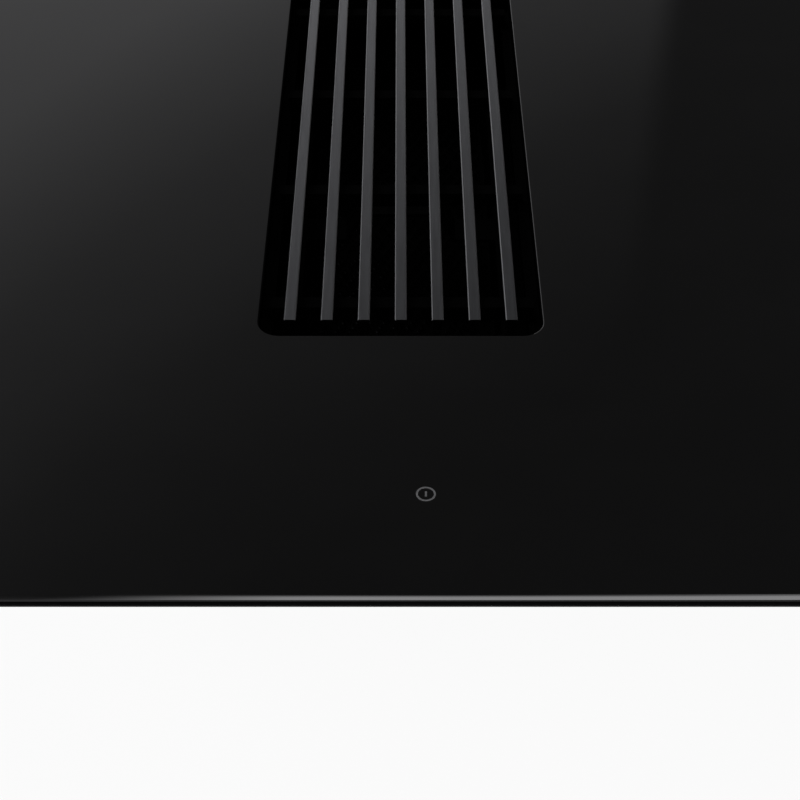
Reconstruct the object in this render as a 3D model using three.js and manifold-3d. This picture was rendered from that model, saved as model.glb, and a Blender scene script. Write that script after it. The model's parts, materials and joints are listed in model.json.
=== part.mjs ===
// Downdraft induction cooktop: a black glass hob with an extractor intake in its middle.
//
// Millimetres, +Z up. The origin is the middle of the footprint, on the surface that the unit
// stands on. The cook stands at -Y and looks along +Y, with +X on the right.
//
// From the top down the unit is a glass plate, an induction module on each side of a central
// intake, a sheet-metal pan that carries both modules, and an air box under the pan with the
// blower. Air passes between the slats and through the grease filter, goes over the drip tray
// into the air box, and leaves through the blower and the flat spigot at the back.

import * as THREE from 'three';
import { mergeVertices } from 'three/addons/utils/BufferGeometryUtils.js';
import Module from 'manifold-3d';

const wasm = await Module();
wasm.setup();

// ---------------------------------------------------------------- driving sizes

const fit = 0.3; // clearance between pieces that rest on or touch each other

const unit = { height: 210 };
const glass = { width: 830, depth: 520, thickness: 4, bevel: 1.3, corner: 6 };
const opening = { width: 118.8, front: 140.6, rear: 60, corner: 9, arris: 0.6 };
const seal = { inset: 1.3, width: 10, thickness: 2, corner: 2 };

// The slats spread over the opening and leave an edge gap at each side of it.
const slat = { count: 7, width: 5, edgeGap: 10.4, endGap: 10.6, thickness: 1.5, recess: 0.5, chamfer: 0.4 };
const carrier = { ribWidth: 3.6, ribHeight: 9, ribInset: 1 };
const bar = { count: 4, length: 7, sideGap: 3, endGap: 30, lap: 1.5 };
const intake = { wall: 2, relief: 1, flange: 13, flangeThickness: 2, drop: 14.5, gasket: 1.2 };
const gasketInset = 2;
const ledge = { width: 5, thickness: 3, endGap: 20 };
const well = { wall: 2, collar: 8, collarThickness: 2, panGap: 1, filterDepth: 45 };
const filter = { side: 0.9, end: 2, flange: 4.5, wall: 1.2, height: 40, lip: 5, corner: 6, ledge: 10 };
const mesh = { height: 12, margin: 0.8, corner: 5 };
const grip = { width: 18, rise: 16, halfLength: 20, run: 8, sheet: 1.8 };
const tray = { height: 36, wall: 1.4, side: 2, frontSetback: 37, airGap: 34, corner: 8 };

const pan = { sideGap: 49, frontGap: 20, depth: 56.7, sheet: 1, upright: 20, slope: 36 };
const panRim = { width: 4, corner: 3 };
const vent = { count: 7, length: 52, width: 4, pitch: 9.5 };
const post = { size: 8, height: 5.5 };

const airBox = { wall: 2.5, corner: 6, frontGap: 1, leftGap: 32, panGap: 30.5, rearLip: 15 };
const nose = { length: 38, height: 45 };
const volute = { startRadius: 80, growth: 50, startAngle: 60, steps: 26, wall: 2, height: 97.5, throat: 12 };
const bell = { eye: 54, wall: 2, flare: 8, drop: 3 };
const blower = { lean: 0.725, fromRear: 176 }; // lean: share of the spare width on the left of the volute
const impeller = { radius: 75, inner: 59, height: 78, ring: 2, lift: 8, crownGap: 3, skirtGap: 8 };
const wheelBlade = { count: 24, thickness: 1.2, bow: 2.2, sweep: 6.5, inset: 1 };
const motor = { radius: 38, height: 39, foot: 6, footHeight: 3 };
const shaft = { radius: 4, length: 16, boss: 9, bossHeight: 8 };
const spigot = { width: 222, height: 89, wall: 2, length: 22, flange: 6, flangeThickness: 2.5, groundGap: 1 };
const flap = { thickness: 1.6, side: 1.2, pinRadius: 2, pinDrop: 4, setback: 3 };

const coil = { radius: 95, inner: 24, thickness: 6, spacing: 226 };
const holder = { radius: 99, thickness: 8, rim: 9, hub: 30, hubHole: 10, arms: 6, armWidth: 16, armLap: 2 };
const sensor = { radius: 12, height: 6.2, stem: 4, stemGap: 1 };
const mica = { thickness: 1, margin: 3 };
const coilTray = { sheet: 1.5, margin: 6, well: 20, wall: 35, front: 18, rear: 16, leg: 5, legInset: 3 };
const board = { width: 142, front: 150, rear: 190, thickness: 1.6, fromWell: 62 };
const sink = { width: 50, front: 100, rear: 140, headroom: 6.6, base: 4, fins: 8, finWidth: 2, inset: 12 };
const fan = { size: 80, height: 25, bore: 37, hub: 14, base: 3, strut: 4, corner: 5, fromWall: 3, y: -160 };
const fanBlade = { count: 7, thickness: 1.4, chord: 20, pitch: 0.65, tipGap: 1.2, rootLap: 1.6, topGap: 2 };

const touch = { sideGap: 3, front: 24, depth: 46, board: 1.6, panel: 2, margin: 1, underGlass: 0.6 };
const touchLeg = { width: 12, depth: 6, inset: 14 };
const terminal = { x: -285, width: 90, depth: 55, height: 30, wall: 2, cover: 2, rear: 15 };
const gland = { nut: 11, nutLength: 7, barrel: 9, length: 13, bore: 5.5 };
const ear = { reach: 20, width: 20 };
const clamp = { outboard: 10, reach: 34, width: 18, thickness: 3, drop: 7.7, y: -60, boss: 7, chamfer: 3 };
const bolt = { fromTip: 8, radius: 3, hole: 3.4, pad: 7, padThickness: 2.5, padDrop: 1, length: 38 };
const boltHead = { radius: 5.5, height: 4 };

const lap = 0.5; // how far solids that are joined reach into each other
const past = 1; // how far a cutting solid reaches past what it cuts
const slopeInset = 0.4; // how far a sloped wall's ends move for each millimetre of its inset
const facets = { small: 12, medium: 16, large: 24, coil: 32 }; // sides of round solids

// ---------------------------------------------------------------- levels and outlines

const glassTop = unit.height;
const glassUnder = glassTop - glass.thickness;
const panTop = glassUnder - fit;
const panUnder = panTop - pan.depth;
const panFloor = panUnder + pan.sheet;
const boxTop = panUnder - fit;

const panHalfX = glass.width / 2 - pan.sideGap;
const panHalfY = glass.depth / 2 - pan.frontGap;

const openFront = -glass.depth / 2 + opening.front;
const openRear = glass.depth / 2 - opening.rear;
const openLength = openRear - openFront;
const openMid = (openFront + openRear) / 2;

const slatTop = glassTop - slat.recess;
const slatFront = openFront + slat.endGap;
const slatRear = openRear - slat.endGap;

const wellInnerX = opening.width / 2 + intake.relief;
const wellOuterX = wellInnerX + well.wall;
const wellFront = openFront - intake.relief - well.wall;
const wellRear = openRear + intake.relief + well.wall;
const gasketTop = glassUnder - fit;
const flangeTop = gasketTop - intake.gasket - fit;
const intakeBottom = flangeTop - intake.drop;
const wellTop = intakeBottom - fit;
const filterLedge = wellTop - well.filterDepth;

const boxRear = wellRear + airBox.rearLip;
const trayBottom = airBox.wall + fit;
const trayTop = trayBottom + tray.height;
const wellBottom = trayTop + tray.airGap;

const boxLeft = -wellOuterX - airBox.leftGap;
const boxRight = panHalfX - airBox.panGap;
const voluteWidth = 2 * volute.startRadius + volute.growth * (spread(180) + spread(360));
const blowerSpare = boxRight - airBox.wall - wellOuterX - voluteWidth;
const blowerX = wellOuterX + blowerSpare * blower.lean + volute.startRadius + volute.growth * spread(180);
const blowerY = boxRear - blower.fromRear;
const voluteFront = blowerY - volute.startRadius - volute.growth * spread(270);
const boxFront = Math.min(
  wellFront - airBox.frontGap - airBox.wall,
  voluteFront - fit - nose.length - airBox.wall * slopeInset,
);

// The share of the volute's growth that is reached at an angle.
function spread(angle) {
  return (angle - volute.startAngle) / (360 - volute.startAngle);
}

// ---------------------------------------------------------------- solid helpers

// A closed mesh as a solid, with its faces turned outwards.
function solid(geometry) {
  const bare = geometry.clone();
  bare.deleteAttribute('normal');
  bare.deleteAttribute('uv');
  const merged = mergeVertices(bare, 1e-4);
  const vertProperties = Float32Array.from(merged.attributes.position.array);
  let triVerts = Uint32Array.from(merged.index.array);
  if (signedVolume(vertProperties, triVerts) < 0) triVerts = triVerts.reverse();
  return new wasm.Manifold(new wasm.Mesh({ numProp: 3, vertProperties, triVerts }));
}

function signedVolume(points, triangles) {
  const corner = (k) => new THREE.Vector3().fromArray(points, 3 * triangles[k]);
  let volume = 0;
  for (let k = 0; k < triangles.length; k += 3) {
    volume += corner(k).dot(corner(k + 1).cross(corner(k + 2))) / 6;
  }
  return volume;
}

function toGeometry(body) {
  const mesh = body.getMesh();
  const geometry = new THREE.BufferGeometry();
  geometry.setAttribute('position', new THREE.BufferAttribute(mesh.vertProperties, 3));
  geometry.setIndex(new THREE.BufferAttribute(mesh.triVerts, 1));
  return geometry;
}

const join = (first, ...others) => others.reduce((sum, other) => sum.add(other), first);
const cut = (first, ...others) => others.reduce((sum, other) => sum.subtract(other), first);

// A block between two corners.
function block(x0, x1, y0, y1, z0, z1) {
  const geometry = new THREE.BoxGeometry(x1 - x0, y1 - y0, z1 - z0);
  return solid(geometry.translate((x0 + x1) / 2, (y0 + y1) / 2, (z0 + z1) / 2));
}

// An upright rod.
function rod(radius, x, y, z0, z1, sides = 20) {
  const geometry = new THREE.CylinderGeometry(radius, radius, z1 - z0, sides).rotateX(Math.PI / 2);
  return solid(geometry.translate(x, y, (z0 + z1) / 2));
}

// A flat shape in the XY plane, raised from z0 to z1.
function slab(shape, z0, z1, curveSegments = 2) {
  const geometry = new THREE.ExtrudeGeometry(shape, { depth: z1 - z0, bevelEnabled: false, curveSegments });
  return solid(geometry.translate(0, 0, z0));
}

// A profile of [y, z] corners, drawn out along X.
function alongX(corners, x0, x1) {
  const shape = new THREE.Shape(corners.map(([y, z]) => new THREE.Vector2(y, z)));
  const geometry = new THREE.ExtrudeGeometry(shape, { depth: x1 - x0, bevelEnabled: false });
  return solid(geometry.rotateZ(Math.PI / 2).rotateY(Math.PI / 2).translate(x0, 0, 0));
}

// A profile of [x, z] corners, drawn out along Y.
function alongY(corners, y0, y1) {
  const shape = new THREE.Shape(corners.map(([x, z]) => new THREE.Vector2(x, z)));
  const geometry = new THREE.ExtrudeGeometry(shape, { depth: y1 - y0, bevelEnabled: false });
  return solid(geometry.rotateX(Math.PI / 2).translate(0, y1, 0));
}

// A closed profile of [radius, z] corners, turned about the Z axis.
function turned(corners, sides = 32) {
  const points = corners.map(([radius, z]) => new THREE.Vector2(radius, z));
  points.push(points[0].clone());
  return solid(new THREE.LatheGeometry(points, sides).rotateX(Math.PI / 2));
}

function roundedShape(x0, x1, y0, y1, radius) {
  const shape = new THREE.Shape();
  shape.absarc(x1 - radius, y1 - radius, radius, 0, Math.PI / 2);
  shape.absarc(x0 + radius, y1 - radius, radius, Math.PI / 2, Math.PI);
  shape.absarc(x0 + radius, y0 + radius, radius, Math.PI, Math.PI * 1.5);
  shape.absarc(x1 - radius, y0 + radius, radius, Math.PI * 1.5, Math.PI * 2);
  shape.closePath();
  return shape;
}

// A rounded frame between an outer and an inner outline, each [x0, x1, y0, y1, radius].
function ring(outer, inner, z0, z1) {
  return cut(slab(roundedShape(...outer), z0, z1), slab(roundedShape(...inner), z0 - 1, z1 + 1));
}

// The opening in the glass, grown by a margin on every side.
function openingOutline(margin) {
  const halfX = opening.width / 2 + margin;
  const corner = Math.max(opening.corner + margin, 1);
  return [-halfX, halfX, openFront - margin, openRear + margin, corner];
}

// ---------------------------------------------------------------- the assembly

const cooktop = new THREE.Group();

const finish = {
  glass: { color: 0x0b0b0d, roughness: 0.05, metalness: 0 },
  slat: { color: 0x4a4b4e, roughness: 0.35, metalness: 0.8 },
  blackPlastic: { color: 0x101112, roughness: 0.55, metalness: 0 },
  greyPlastic: { color: 0x3a3c3f, roughness: 0.6, metalness: 0 },
  galvanised: { color: 0xb4b8bb, roughness: 0.4, metalness: 0.9 },
  aluminium: { color: 0xc9ccce, roughness: 0.35, metalness: 0.9 },
  steel: { color: 0x9a9da1, roughness: 0.3, metalness: 1 },
  coated: { color: 0x131314, roughness: 0.6, metalness: 0.2 },
  copper: { color: 0xb06a3c, roughness: 0.45, metalness: 0.7 },
  circuit: { color: 0x2d6b3a, roughness: 0.5, metalness: 0 },
  mica: { color: 0xcabf9f, roughness: 0.6, metalness: 0 },
  foam: { color: 0x1a1a1a, roughness: 0.95, metalness: 0 },
};

// Puts one named piece in a group.
function add(name, body, look, parent = cooktop) {
  const mesh = new THREE.Mesh(toGeometry(body), new THREE.MeshStandardMaterial(finish[look]));
  mesh.name = name;
  parent.add(mesh);
  return mesh;
}

// ---------------------------------------------------------------- glass and seals

// The plate has a polished bevel round its top edge and a fine arris round the opening.
function glassPlate() {
  const halfX = glass.width / 2;
  const halfY = glass.depth / 2;
  const outline = roundedShape(-halfX, halfX, -halfY, halfY, glass.corner);
  const bevelled = new THREE.ExtrudeGeometry(outline, {
    depth: 2 * (glass.thickness - glass.bevel),
    bevelThickness: glass.bevel,
    bevelSize: glass.bevel,
    bevelOffset: -glass.bevel,
    bevelSegments: 1,
    curveSegments: 3,
  });
  const twice = solid(bevelled.translate(0, 0, glassUnder - (glass.thickness - glass.bevel)));
  const below = block(-halfX - past, halfX + past, -halfY - past, halfY + past, 0, glassUnder);
  const hole = slab(roundedShape(...openingOutline(0)), glassUnder - past, glassTop + past, 4);
  const arris = new THREE.ExtrudeGeometry(roundedShape(...openingOutline(0)), {
    depth: 0.01,
    bevelThickness: opening.arris,
    bevelSize: opening.arris,
    bevelSegments: 1,
    curveSegments: 4,
  });
  return cut(twice, below, hole, solid(arris.translate(0, 0, glassTop)));
}
add('glass_top', glassPlate(), 'glass');

const sealOuterX = glass.width / 2 - seal.inset;
const sealOuterY = glass.depth / 2 - seal.inset;
const sealInnerX = sealOuterX - seal.width;
const sealInnerY = sealOuterY - seal.width;
const sealRing = ring(
  [-sealOuterX, sealOuterX, -sealOuterY, sealOuterY, glass.corner],
  [-sealInnerX, sealInnerX, -sealInnerY, sealInnerY, seal.corner],
  glassUnder - fit - seal.thickness,
  glassUnder - fit,
);
add('worktop_seal', sealRing, 'foam');

const intakeOuter = intake.relief + intake.wall;
const gasket = ring(
  openingOutline(intakeOuter + intake.flange - gasketInset),
  openingOutline(intake.relief),
  gasketTop - intake.gasket,
  gasketTop,
);
add('intake_gasket', gasket, 'foam');

// ---------------------------------------------------------------- intake frame, grille, filter

// A pair of ledges along the inner long sides of a shaft.
function ledges(halfX, width, y0, y1, z0, z1) {
  const right = block(halfX - width, halfX + lap, y0, y1, z0, z1);
  return [right, right.mirror([1, 0, 0])];
}

// The frame hangs under the glass and has a ledge along each long side for the grille.
function intakeFrame() {
  const inside = openingOutline(intake.relief);
  const outside = openingOutline(intakeOuter);
  const flange = openingOutline(intakeOuter + intake.flange);
  return join(
    ring(flange, inside, flangeTop - intake.flangeThickness, flangeTop),
    ring(outside, inside, intakeBottom, flangeTop),
    ...ledges(wellInnerX, ledge.width, openFront + ledge.endGap, openRear - ledge.endGap,
      intakeBottom, intakeBottom + ledge.thickness),
  );
}
add('intake_frame', intakeFrame(), 'blackPlastic');

const slatPitch = (opening.width - 2 * slat.edgeGap - slat.width) / (slat.count - 1);
const slatX = (index) => (index - (slat.count - 1) / 2) * slatPitch;
const ribTop = slatTop - slat.thickness - fit;
const ribBottom = ribTop - carrier.ribHeight;
const barBottom = intakeBottom + ledge.thickness + fit;

// A slat is a flat metal strip with its two long upper edges broken.
function slatStrip() {
  const half = slat.width / 2;
  const edge = half - slat.chamfer;
  const low = slatTop - slat.thickness;
  const shoulder = slatTop - slat.chamfer;
  const section = [[-half, low], [half, low], [half, shoulder], [edge, slatTop], [-edge, slatTop],
    [-half, shoulder]];
  return alongY(section, 0, slatRear - slatFront);
}
const grille = new THREE.Group();
cooktop.add(grille);
for (let index = 0; index < slat.count; index += 1) {
  const strip = add(`slat_${index + 1}`, slatStrip(), 'slat', grille);
  strip.position.set(slatX(index), slatFront, 0);
}

// The carrier has a rib under each slat and cross bars that rest on the ledges.
function grilleCarrier() {
  const half = carrier.ribWidth / 2;
  const front = slatFront + carrier.ribInset;
  const rear = slatRear - carrier.ribInset;
  const ribs = [];
  for (let index = 0; index < slat.count; index += 1) {
    const x = slatX(index);
    ribs.push(block(x - half, x + half, front, rear, ribBottom, ribTop));
  }
  const bars = [];
  const reach = wellInnerX - bar.sideGap;
  const first = openFront + bar.endGap;
  const step = (openLength - 2 * bar.endGap - bar.length) / (bar.count - 1);
  for (let index = 0; index < bar.count; index += 1) {
    const y = first + index * step;
    bars.push(block(-reach, reach, y, y + bar.length, barBottom, ribBottom + bar.lap));
  }
  return join(...bars, ...ribs);
}
add('grille_carrier', grilleCarrier(), 'blackPlastic', grille);

// The well is the shaft under the intake, with a ledge for the filter and a collar on the pan.
function airWell() {
  const inner = [-wellInnerX, wellInnerX, wellFront + well.wall, wellRear - well.wall, opening.corner];
  const grown = (margin) => [-wellOuterX - margin, wellOuterX + margin, wellFront - margin, wellRear + margin,
    opening.corner + well.wall + margin];
  const collarZ = panFloor + fit;
  return join(
    ring(grown(0), inner, wellBottom, wellTop),
    ring(grown(well.collar), inner, collarZ, collarZ + well.collarThickness),
    ...ledges(wellInnerX, filter.ledge, wellFront + ledge.endGap, wellRear - ledge.endGap,
      filterLedge - ledge.thickness, filterLedge),
  );
}
add('air_well', airWell(), 'blackPlastic');

// The filter is a basket that hangs on its flange, with a grip across its middle.
const filterHalf = wellInnerX - filter.ledge - filter.side;
const filterFront = wellFront + well.wall + filter.end;
const filterRear = wellRear - well.wall - filter.end;
const filterTop = filterLedge + fit + filter.wall;
const filterBottom = filterTop - filter.height;
const filterOutline = (inset, corner) => [-filterHalf + inset, filterHalf - inset, filterFront + inset,
  filterRear - inset, corner];

function filterFrame() {
  const basket = filterOutline(0, filter.corner);
  const inside = filterOutline(filter.wall, filter.corner - filter.wall);
  const lip = filterOutline(filter.lip, filter.corner / 2);
  const reach = filterHalf + filter.flange;
  const rim = [-reach, reach, filterFront, filterRear, filter.corner];
  const high = filterTop + grip.rise;
  const under = filterTop - grip.sheet;
  const foot = grip.halfLength + grip.run;
  const end = filterHalf - filter.wall / 2;
  const slant = grip.sheet * 0.7;
  const strap = [[-end, under], [-end, filterTop], [-foot, filterTop], [-grip.halfLength, high],
    [grip.halfLength, high], [foot, filterTop], [end, filterTop], [end, under], [foot - slant, under],
    [grip.halfLength - slant, high - grip.sheet], [-grip.halfLength + slant, high - grip.sheet],
    [-foot + slant, under]];
  return join(
    ring(basket, inside, filterBottom, filterTop),
    ring(basket, lip, filterBottom, filterBottom + filter.wall),
    ring(rim, inside, filterLedge + fit, filterTop),
    alongY(strap, openMid - grip.width / 2, openMid + grip.width / 2),
  );
}

// The mesh pack lies on the foot of the basket.
const meshBottom = filterBottom + filter.wall + fit;
const meshPlan = roundedShape(...filterOutline(filter.wall + mesh.margin, mesh.corner));
const meshPack = slab(meshPlan, meshBottom, meshBottom + mesh.height);

add('filter_frame', filterFrame(), 'coated');
add('filter_mesh', meshPack, 'coated');

// The drip tray stands on the floor of the air box, under the filter.
const trayHalf = filterHalf - tray.side;
const trayFront = wellFront + tray.frontSetback;
const trayRear = wellRear - well.wall - tray.side;
const trayOutline = (inset) => roundedShape(-trayHalf + inset, trayHalf - inset, trayFront + inset,
  trayRear - inset, tray.corner - inset);
const trayShell = cut(
  slab(trayOutline(0), trayBottom, trayTop),
  slab(trayOutline(tray.wall), trayBottom + tray.wall, trayTop + past),
);
add('drip_tray', trayShell, 'greyPlastic');

// ---------------------------------------------------------------- base pan

// Side view of the pan: its front wall slopes back to clear the cabinet's front rail.
function panProfile(inset) {
  const top = panTop + (inset > 0 ? past : 0);
  const rear = panHalfY - inset;
  const front = -panHalfY + inset;
  const low = panUnder + inset;
  const shift = inset * slopeInset;
  return [[rear, top], [rear, low], [-panHalfY + pan.slope + shift, low],
    [front, panTop - pan.upright + shift], [front, top]];
}

const boardInnerX = wellOuterX + board.fromWell;
const boardOuterX = boardInnerX + board.width;
const fanX = panHalfX - pan.sheet - fan.fromWall - fan.size / 2;

// The pan holds the posts of the boards, the air vents of the fans and an ear for each clamp.
function basePan() {
  const shell = cut(alongX(panProfile(0), -panHalfX, panHalfX),
    alongX(panProfile(pan.sheet), -panHalfX + pan.sheet, panHalfX - pan.sheet));
  const rimX = panHalfX + panRim.width;
  const rimY = panHalfY + panRim.width;
  const innerX = panHalfX - pan.sheet;
  const innerY = panHalfY - pan.sheet;
  const rim = ring([-rimX, rimX, -rimY, rimY, panRim.corner], [-innerX, innerX, -innerY, innerY, pan.sheet],
    panTop - pan.sheet, panTop);
  const added = [];
  const vents = [];
  const half = post.size / 2;
  for (const side of [-1, 1]) {
    for (const x of [boardInnerX + post.size, boardOuterX - post.size]) {
      for (const y of [-board.front + post.size, board.rear - post.size]) {
        const middle = side * x;
        added.push(block(middle - half, middle + half, y - half, y + half, panFloor - lap,
          panFloor + post.height));
      }
    }
    for (let index = 0; index < vent.count; index += 1) {
      const y = fan.y + (index - (vent.count - 1) / 2) * vent.pitch;
      const x0 = side * fanX - vent.length / 2;
      vents.push(block(x0, x0 + vent.length, y - vent.width / 2, y + vent.width / 2,
        panUnder - past, panFloor + past));
    }
    const root = side * (panHalfX - lap);
    const tip = side * (panHalfX + ear.reach);
    added.push(block(Math.min(root, tip), Math.max(root, tip), clamp.y - ear.width / 2,
      clamp.y + ear.width / 2, panUnder, panFloor));
  }
  const passage = [-wellOuterX - well.panGap, wellOuterX + well.panGap, wellFront - well.panGap,
    wellRear + well.panGap, opening.corner + well.wall];
  const hole = slab(roundedShape(...passage), panUnder - past, panFloor + past);
  return cut(join(shell, rim, ...added), hole, ...vents);
}
add('base_pan', basePan(), 'galvanised');

// ---------------------------------------------------------------- air box and blower

// Side view of the air box: the lower front corner is sloped like the pan.
function boxProfile(inset) {
  const top = boxTop + (inset > 0 ? past : 0);
  const shift = inset * slopeInset;
  return [[boxRear - inset, top], [boxRear - inset, inset], [boxFront + nose.length + shift, inset],
    [boxFront + inset, nose.height + shift], [boxFront + inset, top]];
}

const outletX = boxRight - airBox.wall - spigot.wall - spigot.flange - spigot.width / 2;
const outletBottom = airBox.wall + fit + volute.wall + spigot.groundGap;
const outletTop = outletBottom + spigot.height;
const ductLeft = outletX - spigot.width / 2;
const ductRight = outletX + spigot.width / 2;

// The clear section of the outlet, as a block from y0 to y1.
function outletBore(y0, y1) {
  return block(ductLeft + spigot.wall, ductRight - spigot.wall, y0, y1,
    outletBottom + spigot.wall, outletTop - spigot.wall);
}

function airBoxShell() {
  const blank = (inset, top) => {
    const body = alongX(boxProfile(inset), boxLeft + inset, boxRight - inset);
    const plan = roundedShape(boxLeft + inset, boxRight - inset, boxFront + inset, boxRear - inset,
      airBox.corner - inset);
    return body.intersect(slab(plan, -past, top));
  };
  const window = outletBore(boxRear - airBox.wall - past, boxRear + past);
  return cut(blank(0, boxTop), blank(airBox.wall, boxTop + past), window);
}
add('air_box', airBoxShell(), 'blackPlastic');

// Plan outline of the blower housing: a spiral that opens into the flared outlet.
function voluteOutline(inset, rear) {
  const shape = new THREE.Shape();
  const sweep = 360 - volute.startAngle;
  for (let step = 0; step <= volute.steps; step += 1) {
    const share = step / volute.steps;
    const angle = THREE.MathUtils.degToRad(volute.startAngle + share * sweep);
    const radius = volute.startRadius + share * volute.growth - inset;
    const x = blowerX + radius * Math.cos(angle);
    const y = blowerY + radius * Math.sin(angle);
    if (step === 0) shape.moveTo(x, y);
    else shape.lineTo(x, y);
  }
  const throat = boxRear - airBox.wall - volute.throat;
  shape.lineTo(ductRight - inset, throat);
  shape.lineTo(ductRight - inset, rear);
  shape.lineTo(ductLeft + inset, rear);
  shape.lineTo(ductLeft + inset, throat);
  shape.closePath();
  return shape;
}

const scrollBottom = airBox.wall + fit;
const scrollTop = scrollBottom + volute.height;
const scrollRear = boxRear - airBox.wall - fit;
const scrollTub = cut(slab(voluteOutline(0, scrollRear), scrollBottom, scrollTop),
  slab(voluteOutline(volute.wall, scrollRear + past), scrollBottom + volute.wall, scrollTop + past));
add('scroll_lower', scrollTub, 'greyPlastic');

// The lid of the blower carries the bellmouth.
const lidBottom = scrollTop + fit;
const lidTop = lidBottom + volute.wall;
function scrollLid() {
  const lid = slab(voluteOutline(0, scrollRear), lidBottom, lidTop);
  const mouth = bell.eye + bell.flare;
  const crest = lidTop + bell.flare;
  const lipRing = turned([[bell.eye, lidBottom - bell.drop], [bell.eye + bell.wall, lidBottom - bell.drop],
    [bell.eye + bell.wall, lidTop], [mouth, crest - bell.wall], [mouth, crest],
    [bell.eye, lidTop + bell.wall / 2]], facets.large);
  const eye = rod(bell.eye, blowerX, blowerY, lidBottom - past, lidTop + past, facets.large);
  return join(cut(lid, eye), lipRing.translate([blowerX, blowerY, 0]));
}
add('scroll_upper', scrollLid(), 'greyPlastic');

const blowerGroup = new THREE.Group();
blowerGroup.position.set(blowerX, blowerY, scrollBottom + volute.wall + fit);
cooktop.add(blowerGroup);

const motorBody = join(
  rod(motor.radius, 0, 0, 0, motor.height, facets.large),
  rod(motor.radius + motor.foot, 0, 0, 0, motor.footHeight, facets.large),
);
add('motor', motorBody, 'steel', blowerGroup);
const shaftBottom = motor.height + fit;
const shaftBody = rod(shaft.radius, 0, 0, shaftBottom, shaftBottom + shaft.length, facets.small);
add('motor_shaft', shaftBody, 'steel', blowerGroup);

// The impeller's back plate rises over the motor to its hub, and blades stand round it.
function blowerWheel() {
  const low = impeller.lift;
  const high = low + impeller.height;
  const crown = motor.height + impeller.crownGap;
  const skirt = motor.radius + impeller.skirtGap;
  const shoulder = motor.radius + impeller.crownGap;
  const sheet = impeller.ring;
  const bore = shaft.radius + fit;
  const hub = turned([[bore, crown], [shoulder - sheet, crown], [skirt, low], [impeller.radius, low],
    [impeller.radius, low + sheet], [skirt + sheet, low + sheet], [shoulder, crown + sheet],
    [shaft.boss, crown + sheet], [shaft.boss, crown + shaft.bossHeight], [bore, crown + shaft.bossHeight]],
  facets.large);
  const rim = turned([[impeller.inner, high - sheet], [impeller.radius, high - sheet],
    [impeller.radius, high], [impeller.inner, high]], facets.large);
  const root = impeller.inner + wheelBlade.inset;
  const tip = impeller.radius - wheelBlade.inset;
  const chord = [[root, 0], [(root + tip) / 2, wheelBlade.bow], [tip, wheelBlade.sweep]];
  const half = wheelBlade.thickness / 2;
  const plan = new THREE.Shape([
    ...chord.map(([x, y]) => new THREE.Vector2(x, y - half)),
    ...chord.map(([x, y]) => new THREE.Vector2(x, y + half)).reverse(),
  ]);
  const blade = slab(plan, low + sheet / 2, high - sheet / 2);
  const blades = [];
  for (let index = 0; index < wheelBlade.count; index += 1) {
    blades.push(blade.rotate([0, 0, (index / wheelBlade.count) * 360]));
  }
  return join(hub, rim, ...blades);
}
add('impeller', blowerWheel(), 'greyPlastic', blowerGroup);

// The spigot takes the flat duct. The flap hangs in it from a pin near its top.
function outletSpigot() {
  const y0 = boxRear + fit;
  const y1 = y0 + spigot.length;
  const outer = block(ductLeft, ductRight, y0, y1, outletBottom, outletTop);
  const low = Math.max(outletBottom - spigot.flange, spigot.groundGap);
  const flange = block(ductLeft - spigot.flange, ductRight + spigot.flange, y0,
    y0 + spigot.flangeThickness, low, outletTop + spigot.flange);
  return cut(join(outer, flange), outletBore(y0 - past, y1 + past));
}
add('outlet_spigot', outletSpigot(), 'blackPlastic');

const flapPinZ = outletTop - spigot.wall - flap.pinDrop;
const flapY = boxRear + fit + spigot.flangeThickness + flap.setback + flap.pinRadius;
function flapBody() {
  const left = ductLeft + spigot.wall;
  const right = ductRight - spigot.wall;
  const low = outletBottom + spigot.wall + flap.side - flapPinZ;
  const plate = block(left + flap.side, right - flap.side, -flap.thickness / 2, flap.thickness / 2, low, 0);
  const pin = new THREE.CylinderGeometry(flap.pinRadius, flap.pinRadius, right - left - 2 * fit, facets.small);
  return join(plate, solid(pin.rotateZ(Math.PI / 2).translate(outletX, 0, 0)));
}
add('backdraft_flap', flapBody(), 'greyPlastic').position.set(0, flapY, flapPinZ);

// ---------------------------------------------------------------- induction modules

const micaTop = glassUnder - fit;
const coilTop = micaTop - mica.thickness - fit;
const coilBottom = coilTop - coil.thickness;
const holderTop = coilBottom - fit;
const holderBottom = holderTop - holder.thickness;
const trayPlateTop = holderBottom - fit;
const trayPlateBottom = trayPlateTop - coilTray.sheet;

const moduleInnerX = wellOuterX + intake.flange + coilTray.margin + coilTray.well;
const moduleOuterX = panHalfX - pan.sheet - coilTray.wall;
const moduleMidX = (moduleInnerX + moduleOuterX) / 2;
const moduleFront = -panHalfY + pan.sheet + coilTray.front;
const moduleRear = panHalfY - pan.sheet - coilTray.rear;
const coilY = (place) => place * coil.spacing / 2;

// A flat ring on the XY plane.
function flatRing(inner, outer, height, sides) {
  return turned([[inner, 0], [outer, 0], [outer, height], [inner, height]], sides);
}
const coilRing = flatRing(coil.inner, coil.radius, coil.thickness, facets.coil);

// The holder is a wheel of arms that carry the ferrite under the winding.
function coilHolder() {
  const rimInner = holder.radius - holder.rim;
  const rim = flatRing(rimInner, holder.radius, holder.thickness, facets.large);
  const hub = flatRing(holder.hubHole, holder.hub, holder.thickness, facets.small);
  const half = holder.armWidth / 2;
  const arm = block(holder.hub - holder.armLap, rimInner + holder.armLap, -half, half, 0, holder.thickness);
  const arms = [];
  for (let index = 0; index < holder.arms; index += 1) {
    arms.push(arm.rotate([0, 0, (index / holder.arms) * 360]));
  }
  return join(rim, hub, ...arms);
}
const holderBody = coilHolder();

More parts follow.
